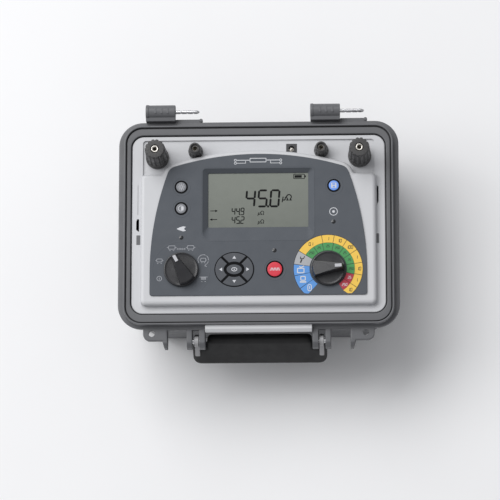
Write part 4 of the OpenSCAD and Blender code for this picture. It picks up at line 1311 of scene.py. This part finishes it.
def dress(nodes, material, edge=0.0):
    for name in nodes:
        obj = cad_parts[name]
        obj.data.materials.clear()
        obj.data.materials.append(material)
        if edge:
            bevel = obj.modifiers.new("edges", "BEVEL")
            bevel.width = edge * MM
            bevel.segments = 2
            bevel.limit_method = "ANGLE"
            bevel.angle_limit = radians(40)


def dress_cad():
    dress(["rim_gasket", "panel_gasket"], GASKET)
    dress(["rubber_feet"], BLACK_RUBBER, 0.6)
    dress(["handle_pins", "case_screws", "board_screws", "battery_bracket", "terminal_backnuts", "key_switches",
           "mode_shaft", "range_shaft", "c1_washer", "c2_washer", "p1_washer", "p2_washer"], STEEL)
    dress(["mode_switch", "range_switch"], SWITCH_BLACK)
    dress(["front_board", "main_board"], BOARD)
    dress(["board_standoffs"], BRASS)
    dress(["battery_pack"], BATTERY, 2.0)
    dress(["power_module"], ALLOY, 0.4)
    dress(["output_choke", "current_shunt", "current_busbars"], COPPER, 0.4)


# ---------- stage ----------

def make_stage():
    bpy.ops.mesh.primitive_plane_add(size=8, location=(0, 0, 0))
    floor = bpy.context.object
    floor.name = "floor"
    floor.data.materials.append(floor_material())
    scene = bpy.context.scene
    world = bpy.data.worlds.new("studio")
    scene.world = world
    world.use_nodes = True
    sky = world.node_tree.nodes["Background"]
    sky.inputs["Color"].default_value = (0.97, 0.98, 1.0, 1)
    sky.inputs["Strength"].default_value = 0.4

    def area(name, place, aim, size, power, colour=(1, 1, 1)):
        light = bpy.data.lights.new(name, "AREA")
        light.shape = "RECTANGLE"
        light.size, light.size_y = size
        light.energy = power
        light.color = colour
        obj = bpy.data.objects.new(name, light)
        obj.location = place
        obj.rotation_euler = (Vector(aim) - Vector(place)).to_track_quat("-Z", "Y").to_euler()
        scene.collection.objects.link(obj)

    area("key", (-2.1, 2.3, 4.0), (0, 0, 0.1), (4.4, 3.2), 190)
    area("left", (-3.4, 0.4, 2.6), (0, 0, 0.1), (2.0, 2.6), 42)
    scene.view_settings.view_transform = "Standard"
    scene.view_settings.look = "None"


# The camera stands in front of and above the case, looking 12 degrees off the vertical
CAM_PLACE = Vector((126.0, -708.25, 3399.0))
CAM_TILT = 12.0
CAM_YAW = 11.21
CAM_ROLL = -11.46
CAM_LENS = 216.0


def make_camera():
    camera = bpy.data.cameras.new("camera")
    camera.lens = CAM_LENS
    camera.sensor_width = 36
    camera.clip_end = 50
    obj = bpy.data.objects.new("camera", camera)
    obj.matrix_world = (Matrix.Translation(CAM_PLACE * MM) @ Matrix.Rotation(radians(CAM_YAW), 4, "Z")
                        @ Matrix.Rotation(radians(CAM_TILT), 4, "X")
                        @ Matrix.Rotation(radians(CAM_ROLL), 4, "Z"))
    bpy.context.scene.collection.objects.link(obj)
    bpy.context.scene.camera = obj


for make in (make_camera, make_stage, make_case, make_chin_plate, make_hinge_pins, make_panel, make_painted_well_shade,
             make_facia, make_bezel, make_display, make_membrane, make_keys, make_leds):
    make()
make_knob("mode_knob", "mode_pointer", "mode_dial", MODE_TURN)
make_knob("range_knob", "range_pointer", "range_dial", RANGE_TURN)
for make in (make_range_dial, make_mode_marks, make_mode_ring, make_face_marks):
    make()
for terminal, is_big in (("c1", True), ("c2", True), ("p1", False), ("p2", False)):
    make_post(terminal + "_nut", is_big)
for make in (make_studs, make_post_bases, make_jack, make_handle, dress_cad):
    make()
